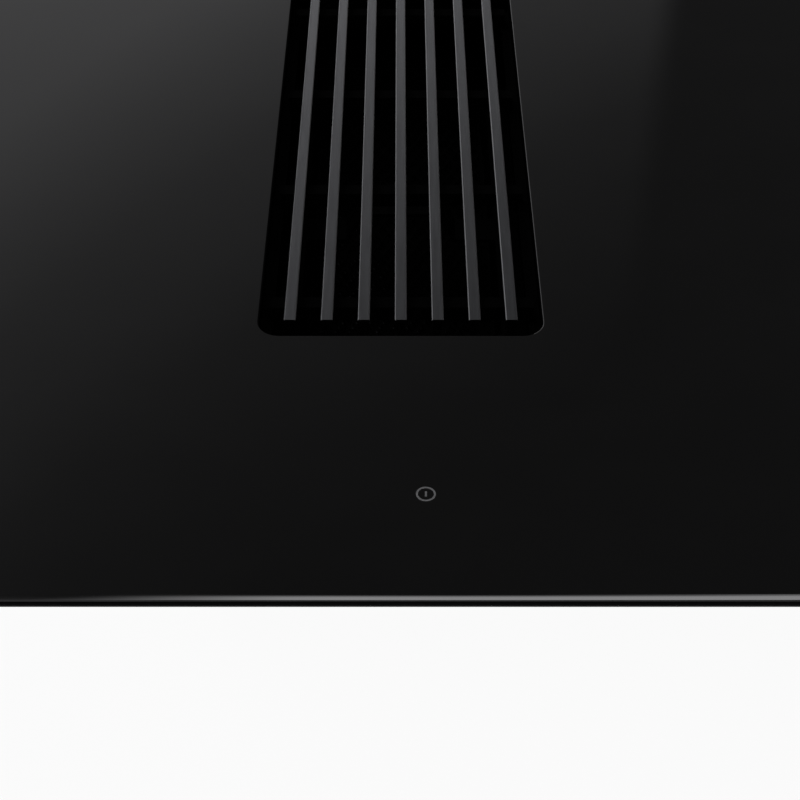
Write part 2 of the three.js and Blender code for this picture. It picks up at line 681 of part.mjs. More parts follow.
// The sensor stands on the hub, in the eye of the winding.
const sensorCap = join(
  rod(sensor.radius, 0, 0, 0, sensor.height, facets.small),
  rod(holder.hubHole - sensor.stemGap, 0, 0, -sensor.stem, lap, facets.small),
);

// A folded aluminium tray on four legs lifts the holders to the glass.
function moduleTray() {
  const plate = block(moduleInnerX, moduleOuterX, moduleFront, moduleRear, trayPlateBottom, trayPlateTop);
  const legs = [];
  const behindFan = fan.y + fan.size / 2 + 2 * coilTray.legInset;
  for (const x of [moduleInnerX + coilTray.legInset, moduleOuterX - coilTray.legInset - coilTray.leg]) {
    for (const y of [behindFan, moduleRear - coilTray.legInset - coilTray.leg]) {
      legs.push(block(x, x + coilTray.leg, y, y + coilTray.leg, panFloor + fit, trayPlateBottom + lap));
    }
  }
  return join(plate, ...legs);
}

const boardBottom = panFloor + post.height + fit;
const sinkBottom = boardBottom + board.thickness + fit;
const sinkHeight = trayPlateBottom - sink.headroom - sinkBottom;
function heatSink() {
  const step = (sink.width - sink.finWidth) / (sink.fins - 1);
  const corners = [[0, 0], [sink.width, 0]];
  for (let index = sink.fins - 1; index >= 0; index -= 1) {
    const x = index * step;
    corners.push([x + sink.finWidth, sinkHeight], [x, sinkHeight]);
    if (index > 0) corners.push([x, sink.base], [x - step + sink.finWidth, sink.base]);
  }
  return alongY(corners, -sink.front, sink.rear);
}

function fanHousing() {
  const half = fan.size / 2;
  const bore = rod(fan.bore, 0, 0, -past, fan.height + past, facets.large);
  const frame = cut(slab(roundedShape(-half, half, -half, half, fan.corner), 0, fan.height, 1), bore);
  const strut = fan.strut / 2;
  const reach = fan.bore + past;
  return join(
    frame,
    block(-reach, reach, -strut, strut, 0, fan.base),
    block(-strut, strut, -reach, reach, 0, fan.base),
    rod(fan.hub, 0, 0, 0, fan.base, facets.small),
  );
}

function fanRotor() {
  const low = fan.base + fit;
  const high = fan.height - fanBlade.topGap;
  const root = fan.hub - fanBlade.rootLap;
  const tip = fan.bore - fanBlade.tipGap;
  const flat = new THREE.BoxGeometry(tip - root, fanBlade.thickness, fanBlade.chord);
  const blade = solid(flat.rotateX(fanBlade.pitch).translate((root + tip) / 2, 0, (low + high) / 2));
  const parts = [rod(fan.hub, 0, 0, low, high, facets.small)];
  for (let index = 0; index < fanBlade.count; index += 1) {
    parts.push(blade.rotate([0, 0, (index / fanBlade.count) * 360]));
  }
  return join(...parts);
}

const sides = { left: -1, right: 1 };
for (const [name, side] of Object.entries(sides)) {
  const module = new THREE.Group();
  module.scale.x = side;
  cooktop.add(module);
  const sheet = block(moduleInnerX + mica.margin, moduleOuterX - mica.margin, moduleFront + mica.margin,
    moduleRear - mica.margin, micaTop - mica.thickness, micaTop);
  add(`mica_sheet_${name}`, sheet, 'mica', module);
  for (const [place, way] of [['front', -1], ['rear', 1]]) {
    const y = coilY(way);
    add(`coil_${place}_${name}`, coilRing, 'copper', module).position.set(moduleMidX, y, coilBottom);
    const wheel = add(`coil_holder_${place}_${name}`, holderBody, 'blackPlastic', module);
    wheel.position.set(moduleMidX, y, holderBottom);
    const cap = add(`sensor_${place}_${name}`, sensorCap, 'blackPlastic', module);
    cap.position.set(moduleMidX, y, holderTop + fit);
  }
  add(`coil_tray_${name}`, moduleTray(), 'aluminium', module);
  const circuit = block(boardInnerX, boardOuterX, -board.front, board.rear,
    boardBottom, boardBottom + board.thickness);
  add(`power_board_${name}`, circuit, 'circuit', module);
  const sinkMesh = add(`heat_sink_${name}`, heatSink(), 'aluminium', module);
  sinkMesh.position.set(boardInnerX + sink.inset, 0, sinkBottom);
  const housing = add(`fan_housing_${name}`, fanHousing(), 'blackPlastic', module);
  housing.position.set(fanX, fan.y, panFloor + fit);
  const rotor = add(`fan_rotor_${name}`, fanRotor(), 'greyPlastic', module);
  rotor.position.set(fanX, fan.y, panFloor + fit);
}

// ---------------------------------------------------------------- touch control

const touchTop = glassUnder - touch.underGlass;
const touchHalf = moduleInnerX + mica.margin - touch.sideGap;
const touchPanelTop = touchTop - touch.board - fit;
const touchFront = -glass.depth / 2 + touch.front;
const touchRear = touchFront + touch.depth;
const touchBoard = block(-touchHalf, touchHalf, touchFront, touchRear, touchTop - touch.board, touchTop);
add('touch_board', touchBoard, 'circuit');

function touchBracket() {
  const low = touchPanelTop - touch.panel;
  const reach = touchHalf + touch.margin;
  const rear = touchRear + touch.margin;
  const panel = block(-reach, reach, touchFront - touch.margin, rear, low, touchPanelTop);
  const x0 = touchHalf - touchLeg.inset - touchLeg.width;
  const leg = block(x0, x0 + touchLeg.width, rear - touchLeg.depth, rear, panFloor + fit, low + lap);
  return join(panel, leg, leg.mirror([1, 0, 0]));
}
add('touch_bracket', touchBracket(), 'blackPlastic');

// ---------------------------------------------------------------- mains connection

const terminalRear = panHalfY - terminal.rear;
const terminalFront = terminalRear - terminal.depth;
const terminalLeft = terminal.x - terminal.width / 2;
const terminalRight = terminal.x + terminal.width / 2;
const terminalTop = panUnder - fit;
const terminalBottom = terminalTop - terminal.height;
const glandZ = (terminalTop + terminalBottom) / 2;

// A rod along Y at the height of the gland.
function alongYRod(radius, y0, y1, count = facets.medium) {
  const geometry = new THREE.CylinderGeometry(radius, radius, y1 - y0, count);
  return solid(geometry.translate(terminal.x, (y0 + y1) / 2, glandZ));
}

const terminalShell = cut(
  block(terminalLeft, terminalRight, terminalFront, terminalRear, terminalBottom, terminalTop),
  block(terminalLeft + terminal.wall, terminalRight - terminal.wall, terminalFront + terminal.wall,
    terminalRear - terminal.wall, terminalBottom - past, terminalTop - terminal.wall),
  alongYRod(gland.bore, terminalRear - terminal.wall - past, terminalRear + past),
);
add('terminal_box', terminalShell, 'blackPlastic');
const coverTop = terminalBottom - fit;
const cover = block(terminalLeft, terminalRight, terminalFront, terminalRear,
  coverTop - terminal.cover, coverTop);
add('terminal_cover', cover, 'blackPlastic');

const glandFront = terminalRear + fit;
const glandBody = cut(
  join(alongYRod(gland.nut, glandFront, glandFront + gland.nutLength, 6),
    alongYRod(gland.barrel, glandFront, glandFront + gland.length)),
  alongYRod(gland.bore, glandFront - past, glandFront + gland.length + past),
);
add('cable_gland', glandBody, 'greyPlastic');

// ---------------------------------------------------------------- worktop clamps

const clampX = panHalfX + clamp.outboard;
const armTop = panUnder - fit - clamp.drop;
const armBottom = armTop - clamp.thickness;
const boltX = clamp.reach - bolt.fromTip;
const padTop = panUnder - bolt.padDrop;

// The arm turns on a shouldered screw under the pan's ear and carries the bolt at its tip.
function clampArm() {
  const half = clamp.width / 2;
  const tip = clamp.reach - clamp.chamfer;
  const plan = new THREE.Shape();
  plan.absarc(0, 0, half, Math.PI / 2, Math.PI * 1.5);
  plan.lineTo(tip, -half);
  plan.lineTo(clamp.reach, -half + clamp.chamfer);
  plan.lineTo(clamp.reach, half - clamp.chamfer);
  plan.lineTo(tip, half);
  plan.closePath();
  const blade = slab(plan, armBottom, armTop, 4);
  const boss = rod(clamp.boss, 0, 0, armTop - lap, panUnder - fit, facets.small);
  return cut(join(blade, boss), rod(bolt.hole, boltX, 0, armBottom - past, armTop + past, facets.small));
}

function clampBolt() {
  const shankTop = padTop - bolt.padThickness;
  const shankBottom = padTop - bolt.length;
  return join(
    rod(bolt.pad, boltX, 0, shankTop, padTop, facets.small),
    rod(bolt.radius, boltX, 0, shankBottom, shankTop + lap, facets.small),
    rod(boltHead.radius, boltX, 0, shankBottom - boltHead.height, shankBottom + lap, 6),
  );
}

for (const [name, side] of Object.entries(sides)) {
  const holdDown = new THREE.Group();
  holdDown.scale.x = side;
  holdDown.position.set(side * clampX, clamp.y, 0);
  cooktop.add(holdDown);
  add(`clamp_arm_${name}`, clampArm(), 'galvanised', holdDown);
  add(`clamp_bolt_${name}`, clampBolt(), 'steel', holdDown);
}

export default cooktop;
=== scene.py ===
# %% [markdown]
# # A downdraft induction cooktop
#
# A black glass hob with an extractor intake in its middle. The pieces and their sizes come from the
# CAD model, which is loaded as a fixed frame. This lesson gives them their finishes, adds the fine
# pieces that a CAD model leaves out, and lights them like a studio photograph of polished glass.

# %% The frame and the tools
import json
import math

import bmesh
import bpy
from mathutils import Matrix, Vector


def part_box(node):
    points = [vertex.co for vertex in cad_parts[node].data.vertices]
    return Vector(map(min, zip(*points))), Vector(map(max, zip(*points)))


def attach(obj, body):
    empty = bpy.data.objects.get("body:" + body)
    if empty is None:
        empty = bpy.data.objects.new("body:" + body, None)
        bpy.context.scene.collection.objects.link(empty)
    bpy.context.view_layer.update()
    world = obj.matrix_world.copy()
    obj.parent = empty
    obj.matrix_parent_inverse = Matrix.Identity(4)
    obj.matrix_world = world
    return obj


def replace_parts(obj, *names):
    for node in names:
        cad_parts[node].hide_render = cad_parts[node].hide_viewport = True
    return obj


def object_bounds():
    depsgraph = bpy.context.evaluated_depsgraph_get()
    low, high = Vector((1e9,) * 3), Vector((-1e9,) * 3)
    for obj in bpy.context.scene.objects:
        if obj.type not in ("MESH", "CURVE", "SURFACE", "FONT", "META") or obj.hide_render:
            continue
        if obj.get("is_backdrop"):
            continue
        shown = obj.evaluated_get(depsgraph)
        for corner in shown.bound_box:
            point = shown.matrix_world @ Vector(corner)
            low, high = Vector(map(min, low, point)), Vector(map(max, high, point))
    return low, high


MM = 0.001
scene = bpy.context.scene
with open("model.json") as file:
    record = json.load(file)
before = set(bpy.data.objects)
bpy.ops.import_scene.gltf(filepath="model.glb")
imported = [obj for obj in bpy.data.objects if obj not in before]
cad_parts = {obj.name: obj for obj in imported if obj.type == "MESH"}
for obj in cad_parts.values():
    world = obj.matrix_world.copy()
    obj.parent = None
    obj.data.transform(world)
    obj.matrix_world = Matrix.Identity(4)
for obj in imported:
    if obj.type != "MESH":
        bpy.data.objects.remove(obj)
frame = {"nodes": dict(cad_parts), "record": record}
cad_low, cad_high = (list(corner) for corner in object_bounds())
glass_low, glass_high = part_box("glass_top")
print("CAD box", [round(v, 4) for v in cad_low], [round(v, 4) for v in cad_high])

# %% [markdown]
# ## The camera
#
# Lines that run from front to back on the cooktop meet in one point high above the picture, so the
# camera looks straight ahead with a steep tilt. Its tilt and lens come from where that point lies and
# from how flat the printed ring looks. Its height comes from the width of the intake.

# %% The camera
PICTURE_SIZE = 800
SENSOR_WIDTH = 36
CAMERA_TILT = math.radians(42.78)
CAMERA_LENS = 70.5
CAMERA_ABOVE_GLASS = 419.8 * MM
CAMERA_BEFORE_GLASS = 352.4 * MM
CAMERA_ASIDE = -0.35 * MM

camera_data = bpy.data.cameras.new("camera")
camera_data.lens = CAMERA_LENS
camera_data.sensor_width = SENSOR_WIDTH
camera = bpy.data.objects.new("camera", camera_data)
camera.location = (CAMERA_ASIDE, glass_low.y - CAMERA_BEFORE_GLASS, glass_high.z + CAMERA_ABOVE_GLASS)
camera.rotation_euler = (math.pi / 2 - CAMERA_TILT, 0, 0)
scene.collection.objects.link(camera)
scene.camera = camera
scene.view_settings.view_transform = "Standard"
print("camera at", [round(v, 3) for v in camera.location])

# %% [markdown]
# ## A short way to wire nodes
#
# A material is a small network. These helpers add a node, set its values and join it to others, so
# that each finish below reads as a list of what it does.

# %% Node helpers
def fill(tree, socket, value):
    """Gives a socket a value, or links it from an output socket."""
    if isinstance(value, bpy.types.NodeSocket):
        tree.links.new(value, socket)
    else:
        socket.default_value = value


def node(tree, kind, inputs=None, **settings):
    """Adds a node. An input is a value, or an output socket to link from."""
    made = tree.nodes.new(kind)
    for name, value in settings.items():
        setattr(made, name, value)
    for name, value in (inputs or {}).items():
        fill(tree, made.inputs[name], value)
    return made


def maths(tree, operation, first, second=0.0):
    """Adds one Math node and returns its output."""
    return node(tree, "ShaderNodeMath", {0: first, 1: second}, operation=operation).outputs[0]


def remap(tree, value, low, high, to_low=0.0, to_high=1.0):
    """Maps low..high of a value to to_low..to_high and stops there."""
    made = node(
        tree,
        "ShaderNodeMapRange",
        {"Value": value, "From Min": low, "From Max": high, "To Min": to_low, "To Max": to_high},
        interpolation_type="SMOOTHSTEP",
    )
    return made.outputs["Result"]


def mixed(tree, factor, first, second):
    """Mixes two colours, by socket number, because a Mix node has several sockets of one name."""
    made = node(tree, "ShaderNodeMix", {"Factor": factor}, data_type="RGBA")
    for socket, value in zip(made.inputs[6:8], (first, second)):
        fill(tree, socket, (*value, 1) if isinstance(value, tuple) else value)
    return made.outputs[2]


def dot(tree, first, second):
    """How far one direction goes along another."""
    made = node(tree, "ShaderNodeVectorMath", {0: first, 1: second}, operation="DOT_PRODUCT")
    return made.outputs["Value"]


def new_group(name, inputs, output):
    """A shader node group with named inputs that gives out one number."""
    group = bpy.data.node_groups.new(name, "ShaderNodeTree")
    for label, start in inputs.items():
        kind = "NodeSocketVector" if isinstance(start, tuple) else "NodeSocketFloat"
        socket = group.interface.new_socket(label, in_out="INPUT", socket_type=kind)
        socket.default_value = start
    group.interface.new_socket(output, in_out="OUTPUT", socket_type="NodeSocketFloat")
    given = group.nodes.new("NodeGroupInput").outputs
    return group, given, group.nodes.new("NodeGroupOutput").inputs[output]


def feed(tree, made, **values):
    """Fills inputs by name, with underscores for the spaces."""
    for label, value in values.items():
        fill(tree, made.inputs[label.replace("_", " ")], value)


def use(tree, group, **values):
    """Places a node group in a material with its own values, and returns what it gives out."""
    made = node(tree, "ShaderNodeGroup", node_tree=group)
    feed(tree, made, **values)
    return made.outputs[0]


# %% [markdown]
# ## Effects that several finishes share
#
# Grain, rubbed edges and settled dust turn up on nearly every surface of an appliance. Each is built
# once as a node group that gives out a mask, and each finish places it with its own strength.

# %% Grain: a noise that can be stretched into a brushed or rolled direction
grain_start = {"Scale": 400.0, "Stretch": (1.0, 1.0, 1.0), "Detail": 3.0}
grain_group, given, height = new_group("Grain", grain_start, "Height")
place = node(grain_group, "ShaderNodeTexCoord").outputs["Object"]
stretched = node(grain_group, "ShaderNodeVectorMath", {0: place, 1: given["Stretch"]}, operation="MULTIPLY")
noise = node(
    grain_group,
    "ShaderNodeTexNoise",
    {"Vector": stretched.outputs[0], "Scale": given["Scale"], "Detail": given["Detail"]},
)
fill(grain_group, height, noise.outputs["Fac"])

# %% Edge wear: where the rounded normal leaves the flat one, broken up by noise
wear_group, given, worn = new_group("Edge wear", {"Width": 0.001, "Patchiness": 90.0}, "Edge")
flat = node(wear_group, "ShaderNodeNewGeometry").outputs["Normal"]
round_normal = node(wear_group, "ShaderNodeBevel", {"Radius": given["Width"]}, samples=4)
edge = remap(wear_group, dot(wear_group, flat, round_normal.outputs[0]), 0.995, 0.85)
patch = node(wear_group, "ShaderNodeTexNoise", {"Scale": given["Patchiness"], "Detail": 3.0})
broken = remap(wear_group, patch.outputs["Fac"], 0.4, 0.65, 0.25, 1.0)
fill(wear_group, worn, maths(wear_group, "MULTIPLY", edge, broken))

# %% Dust: settles on faces that look up, thicker in soft patches
dust_group, given, dusty = new_group("Dust", {"Amount": 0.2, "Patch size": 9.0}, "Dust")
normal = node(dust_group, "ShaderNodeNewGeometry").outputs["Normal"]
lying = remap(dust_group, dot(dust_group, normal, (0, 0, 1)), 0.3, 0.95)
clouds = node(dust_group, "ShaderNodeTexNoise", {"Scale": given["Patch size"], "Detail": 4.0})
specks = node(dust_group, "ShaderNodeTexNoise", {"Scale": 2600.0, "Detail": 2.0})
patches = remap(dust_group, clouds.outputs["Fac"], 0.35, 0.7)
speckled = maths(dust_group, "MULTIPLY", patches, remap(dust_group, specks.outputs["Fac"], 0.5, 0.75))
settled = maths(dust_group, "MULTIPLY", lying, speckled)
fill(dust_group, dusty, maths(dust_group, "MULTIPLY", settled, given["Amount"]))
print("groups", [group.name for group in bpy.data.node_groups])


# %% [markdown]
# ## The finishes
#
# Every finish starts as one Principled shader. What is the same all over is set on its sockets, and
# what changes over the surface is linked from the groups.

# %% A finish to start from
def start_material(name, **constants):
    """A material with a Principled shader and constant sockets."""
    material = bpy.data.materials.new(name)
    material.use_nodes = True
    tree = material.node_tree
    shader = tree.nodes["Principled BSDF"]
    feed(tree, shader, **constants)
    return material, tree, shader


def bump(tree, shader, height, distance, strength=1.0):
    """Feeds a height into the shader's normal, with a real height in metres."""
    made = node(tree, "ShaderNodeBump", {"Height": height, "Distance": distance, "Strength": strength})
    feed(tree, shader, Normal=made.outputs["Normal"])


# %% Black glass: polished, with the faintest wipe marks
def glass_finish():
    material, tree, shader = start_material("black_glass", IOR=1.5, Specular_IOR_Level=0.5)
    wipe = use(tree, grain_group, Scale=7.0, Stretch=(1.0, 2.2, 1.0), Detail=2.0)
    dust = use(tree, dust_group, Amount=0.012, Patch_size=11.0)
    colour = mixed(tree, dust, (0.0024, 0.0024, 0.0024), (0.35, 0.35, 0.34))
    feed(tree, shader, Base_Color=colour, Roughness=remap(tree, wipe, 0.35, 0.7, 0.035, 0.06))
    return material


# %% Glass edge: ground faces, the enamelled underside, and painted shade on two sides of the opening's arris
def glass_edge_finish():
    material, tree, shader = start_material("glass_edge", Specular_IOR_Level=0.01)
    grind = use(tree, grain_group, Scale=900.0, Stretch=(1.0, 1.0, 6.0))
    colour = mixed(tree, grind, (0.0004, 0.0004, 0.0004), (0.0012, 0.0012, 0.0012))
    feed(tree, shader, Base_Color=colour, Roughness=remap(tree, grind, 0.3, 0.7, 0.55, 0.75))
    return material


# %% Brushed metals: grain drawn out along one direction, edges rubbed brighter
def brushed_finish(name, colour, bright, roughness, stretch, scale=260.0, relief=0.00002):
    material, tree, shader = start_material(name, Metallic=1.0)
    grain = use(tree, grain_group, Scale=scale, Stretch=stretch, Detail=4.0)
    edge = use(tree, wear_group, Width=0.0006, Patchiness=120.0)
    body = mixed(tree, remap(tree, grain, 0.3, 0.7), tuple(0.92 * c for c in colour), colour)
    rough = remap(tree, grain, 0.25, 0.75, roughness - 0.03, roughness + 0.04)
    feed(tree, shader, Base_Color=mixed(tree, edge, body, bright), Roughness=rough)
    bump(tree, shader, grain, relief, 0.6)
    return material


# %% Mouldings: a fine spark-eroded texture, edges slightly polished, a little dust
MOULD_TEXTURE = 0.03 * MM


def moulded_finish(name, colour, roughness, specular, dust_amount):
    material, tree, shader = start_material(name, Specular_IOR_Level=specular)
    skin = use(tree, grain_group, Scale=1500.0, Detail=2.0)
    flow = use(tree, grain_group, Scale=14.0, Detail=3.0)
    edge = use(tree, wear_group, Width=0.0008, Patchiness=70.0)
    dust = use(tree, dust_group, Amount=dust_amount, Patch_size=14.0)
    body = mixed(tree, flow, tuple(0.8 * c for c in colour), tuple(1.15 * c for c in colour))
    rubbed = mixed(tree, maths(tree, "MULTIPLY", edge, 0.35), body, tuple(2.2 * c for c in colour))
    rough = remap(tree, edge, 0.0, 1.0, roughness, roughness * 0.75)
    feed(tree, shader, Base_Color=mixed(tree, dust, rubbed, (0.3, 0.29, 0.27)), Roughness=rough)
    bump(tree, shader, skin, MOULD_TEXTURE, 0.5)
    return material


# %% Zinc-coated sheet: crystals of zinc, each a slightly different grey
def zinc_finish():
    material, tree, shader = start_material("zinc_sheet", Metallic=1.0)
    place = node(tree, "ShaderNodeTexCoord").outputs["Object"]
    wobble = node(tree, "ShaderNodeTexNoise", {"Vector": place, "Scale": 60.0})
    bent = mixed(tree, 0.02, place, wobble.outputs["Color"])
    spangle = node(tree, "ShaderNodeTexVoronoi", {"Vector": bent, "Scale": 85.0})
    tone = node(tree, "ShaderNodeSeparateColor", {0: spangle.outputs["Color"]}).outputs[0]
    edge = use(tree, wear_group, Width=0.0008, Patchiness=80.0)
    body = mixed(tree, tone, (0.42, 0.435, 0.45), (0.56, 0.575, 0.585))
    rough = remap(tree, tone, 0.0, 1.0, 0.32, 0.46)
    feed(tree, shader, Base_Color=mixed(tree, edge, body, (0.7, 0.71, 0.72)), Roughness=rough)
    return material


# %% Windings: enamelled strands laid in rings
def winding_finish():
    material, tree, shader = start_material("enamelled_winding", Metallic=0.8, Coat_Weight=0.4)
    strand = use(tree, grain_group, Scale=900.0, Detail=2.0)
    colour = mixed(tree, strand, (0.33, 0.12, 0.045), (0.6, 0.27, 0.12))
    feed(tree, shader, Base_Color=colour, Roughness=remap(tree, strand, 0.3, 0.7, 0.3, 0.5))
    bump(tree, shader, strand, 0.0002)
    return material


# %% Circuit board: lacquered green with copper runs showing through
def circuit_finish():
    material, tree, shader = start_material("circuit_board", Coat_Weight=0.5)
    runs = node(tree, "ShaderNodeTexBrick", {"Scale": 90.0, "Mortar Size": 0.06, "Color1": (0, 0, 0, 1)})
    colour = mixed(tree, runs.outputs["Fac"], (0.012, 0.07, 0.025), (0.03, 0.16, 0.06))
    gloss = use(tree, grain_group, Scale=80.0)
    feed(tree, shader, Base_Color=colour, Roughness=remap(tree, gloss, 0.3, 0.7, 0.3, 0.42))
    return material


# %% Mica: pressed flakes
def mica_finish():
    material, tree, shader = start_material("mica", Roughness=0.5)
    flakes = node(tree, "ShaderNodeTexVoronoi", {"Scale": 220.0})
    tone = node(tree, "ShaderNodeSeparateColor", {0: flakes.outputs["Color"]}).outputs[0]
    feed(tree, shader, Base_Color=mixed(tree, tone, (0.42, 0.34, 0.2), (0.66, 0.58, 0.4)))
    return material


# %% Foam tape: closed cells, no gloss
def foam_finish():
    material, tree, shader = start_material("foam", Specular_IOR_Level=0.1, Roughness=0.95)
    voronoi = node(tree, "ShaderNodeTexVoronoi", {"Scale": 1400.0}, feature="SMOOTH_F1")
    cells = voronoi.outputs["Distance"]
    feed(tree, shader, Base_Color=mixed(tree, cells, (0.006, 0.006, 0.006), (0.02, 0.02, 0.02)))
    bump(tree, shader, cells, 0.0002)
    return material


# %% Ink: a pale, slightly uneven print
def ink_finish():
    material, tree, shader = start_material("ink", Roughness=0.5, Specular_IOR_Level=0.3)
    grain = use(tree, grain_group, Scale=3000.0)
    feed(tree, shader, Base_Color=mixed(tree, grain, (0.062, 0.062, 0.064), (0.08, 0.08, 0.082)))
    return material


# %% The whole set
SLAT_GRAIN = ((2.0, 0.03, 2.0), 1400.0, 0.004 * MM)
finishes = {
    "black_glass": glass_finish(),
    "glass_edge": glass_edge_finish(),
    "galvanised": zinc_finish(),
    "copper": winding_finish(),
    "circuit": circuit_finish(),
    "mica": mica_finish(),
    "foam": foam_finish(),
    "ink": ink_finish(),
}
for name, *look in (
    ("slat_metal", (0.245, 0.249, 0.259), (0.31, 0.31, 0.32), 0.19, *SLAT_GRAIN),
    ("slat_arris", (0.15, 0.152, 0.158), (0.18, 0.18, 0.186), 0.36, *SLAT_GRAIN),
    ("aluminium", (0.66, 0.665, 0.67), (0.85, 0.85, 0.85), 0.34, (0.15, 3.0, 3.0)),
    ("stainless", (0.5, 0.5, 0.495), (0.75, 0.75, 0.74), 0.28, (0.2, 4.0, 4.0)),
):
    finishes[name] = brushed_finish(name, *look)
for name, *look in (
    # A near-black finish for the slats' right sloping edge: painted shade.
    ("slat_paint", (0.006, 0.006, 0.0065), 0.45, 0.2, 0.0),
    # Near-black with almost no gloss, darker than the black plastic: black moulding plus painted shade for
    # the deep intake well.
    ("intake_black", (0.0005, 0.0005, 0.0005), 0.7, 0.008, 0.0),
    ("coated_metal", (0.0006, 0.0006, 0.0006), 0.6, 0.02, 0.0),
    ("black_plastic", (0.014, 0.014, 0.015), 0.5, 0.4, 0.05),
    ("grey_plastic", (0.1, 0.104, 0.11), 0.5, 0.4, 0.05),
):
    finishes[name] = moulded_finish(name, *look)
print("finishes", sorted(finishes))

# %% [markdown]
# ## Dressing the CAD pieces
#
# Each CAD piece keeps its shape and takes the finish of its material slot, except the pieces of the intake.
# On moulded plastic, zinc-coated sheet, aluminium and stainless steel a bevel modifier breaks the sharp
# edges, as pressing, moulding or deburring does, so that they catch a line of light.
# The slats are brushed on top only. Black paint covers their ends and their sides, in the intake's
# near-black that also stands for shade. The narrow sloping edge on their right is near-black as painted
# shade, and the one on their left is bare but duller than the top.

# %% CAD pieces
# The intake's pieces take this near-black instead of their slot's finish: black moulding plus painted shade
# for the deep well.
INTAKE_PIECES = ("intake_frame", "grille_carrier", "air_well", "intake_gasket")
BREAK_EDGE = {"black_plastic": 0.5, "galvanised": 0.5, "grey_plastic": 0.4}
BREAK_EDGE.update(aluminium=0.3, stainless=0.3)
SHARP_FROM = 35
BEVELLED_FROM = 40
slot_of = {part["node"]: part["material_slot"] for part in frame["record"]["subparts"]}


def break_edges(piece, width):
    """Rounds a mesh's sharp edges by a width in millimetres."""
    made = piece.modifiers.new("broken edges", "BEVEL")
    made.width = width * MM
    made.segments = 2
    made.limit_method = "ANGLE"
    made.angle_limit = math.radians(BEVELLED_FROM)
    made.use_clamp_overlap = True
    made.harden_normals = True


for name, piece in frame["nodes"].items():
    slot = slot_of[name]
    finish = "intake_black" if name in INTAKE_PIECES else slot if slot in finishes else "aluminium"
    piece.data.materials.clear()
    piece.data.materials.append(finishes[finish])
    for face in piece.data.polygons:
        face.use_smooth = True
    piece.data.set_sharp_from_angle(angle=math.radians(SHARP_FROM))
    if slot in BREAK_EDGE:
        break_edges(piece, BREAK_EDGE[slot])
print("dressed", len(frame["nodes"]), "CAD pieces")

# %% The slats' black paint, the painted shade on their right edge, and their duller left edge
TOP, SIDE, SHADED_RIGHT_EDGE, LEFT_EDGE = range(4)
slats = [piece for name, piece in frame["nodes"].items() if slot_of[name] == "slat_metal"]
for slat in slats:
    for finish in ("intake_black", "slat_paint", "slat_arris"):
        slat.data.materials.append(finishes[finish])
    for face in slat.data.polygons:
        across, along, _ = face.normal
        if max(abs(across), abs(along)) > 0.9:
            face.material_index = SIDE
        elif abs(across) > 0.5:
            # The right sloping edge takes the near-black finish as painted shade.
            face.material_index = SHADED_RIGHT_EDGE if across > 0 else LEFT_EDGE
        else:
            face.material_index = TOP
print("slats", len(slats))

# %% [markdown]
# ## Shapes for the fine pieces
#
# Screws, ribs and windings are small, but there are many of them, so each kind gets one short builder
# that adds a closed shape to a growing mesh. A turned part is a profile swept round an axis, a folded or
# moulded rib is a tapered block, and a wire is a section carried along a path. The builders take
# millimetres. Pieces of one kind that sit on one body are kept together in one object.

# %% Places on circles, boxes and walls
def even_angles(count):
    """Angles that divide a full turn evenly."""
    return [2 * math.pi * k / count for k in range(count)]


def around(middle, reach, angle, height):
    """A point at a distance and an angle from an upright axis."""
    return (middle[0] + reach * math.cos(angle), middle[1] + reach * math.sin(angle), height)


def rounded_path(low, high, corner, inset, steps):
    """Points round a rectangle with rounded corners, drawn in by an inset."""
    path = []
    for index, (right, back) in enumerate(((1, 1), (0, 1), (0, 0), (1, 0))):
        x = high[0] - corner if right else low[0] + corner
        y = high[1] - corner if back else low[1] + corner
        for k in range(steps + 1):
            angle = math.pi / 2 * (index + k / steps)
            path.append((x + (corner - inset) * math.cos(angle), y + (corner - inset) * math.sin(angle)))
    return path


def box_mm(name):
    """A node's box in millimetres."""
    low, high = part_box(name)
    return [v / MM for v in low], [v / MM for v in high]


def corners_of(low, high, inset, level):
    """The four corners of a box, drawn in, at one level."""
    sides, ends = ((low[a] + inset, high[a] - inset) for a in range(2))
    return [(x, y, level) for x in sides for y in ends]


def on_walls(low, high, bite, reach):
    """Where a rib on each of two opposite walls starts and ends, from its bite to its reach."""
    return (low - reach, low + bite), (high - bite, high + reach)


print("glass", [round(b - a, 1) for a, b in zip(*box_mm("glass_top"))], "mm")

# %% Builders
# What stands on a surface is kept just clear of it.
CLEAR = 0.02
UPWARDS, DOWNWARDS, BACKWARDS = (0, 0, 1), (0, 0, -1), (0, 1, 0)


def to_world(direction, spot):
    """A matrix that stands a shape on a spot, with its own Z along a direction."""
    turn = Vector(direction).to_track_quat("Z", "Y").to_matrix().to_4x4()
    return Matrix.Translation(Vector(spot) * MM) @ turn


def join_rings(made, rings, closed=False):
    """Fills in the faces between rings of points. A ring of one point is a tip."""
    for first, second in zip(rings, rings[1:] + rings[:1] if closed else rings[1:]):
        for k in range(max(len(first), len(second))):
            corners = [first[k % len(first)], first[(k + 1) % len(first)]]
            corners += [second[(k + 1) % len(second)], second[k % len(second)]]
            made.faces.new(list(dict.fromkeys(corners)))


def turned(made, profile, place, steps=24, lobes=6, closed=False):
    """Sweeps (radius, height) points round Z. A third number is the depth of lobes."""
    rings = []
    for radius, height, *lobe in profile:
        depth = lobe[0] if lobe else 0
        ring = []
        for angle in even_angles(steps if radius else 1):
            reach = (radius + depth * math.cos(lobes * angle)) * MM
            spot = Vector((reach * math.cos(angle), reach * math.sin(angle), height * MM))
            ring.append(made.verts.new(place @ spot))
        rings.append(ring)
    join_rings(made, rings, closed)


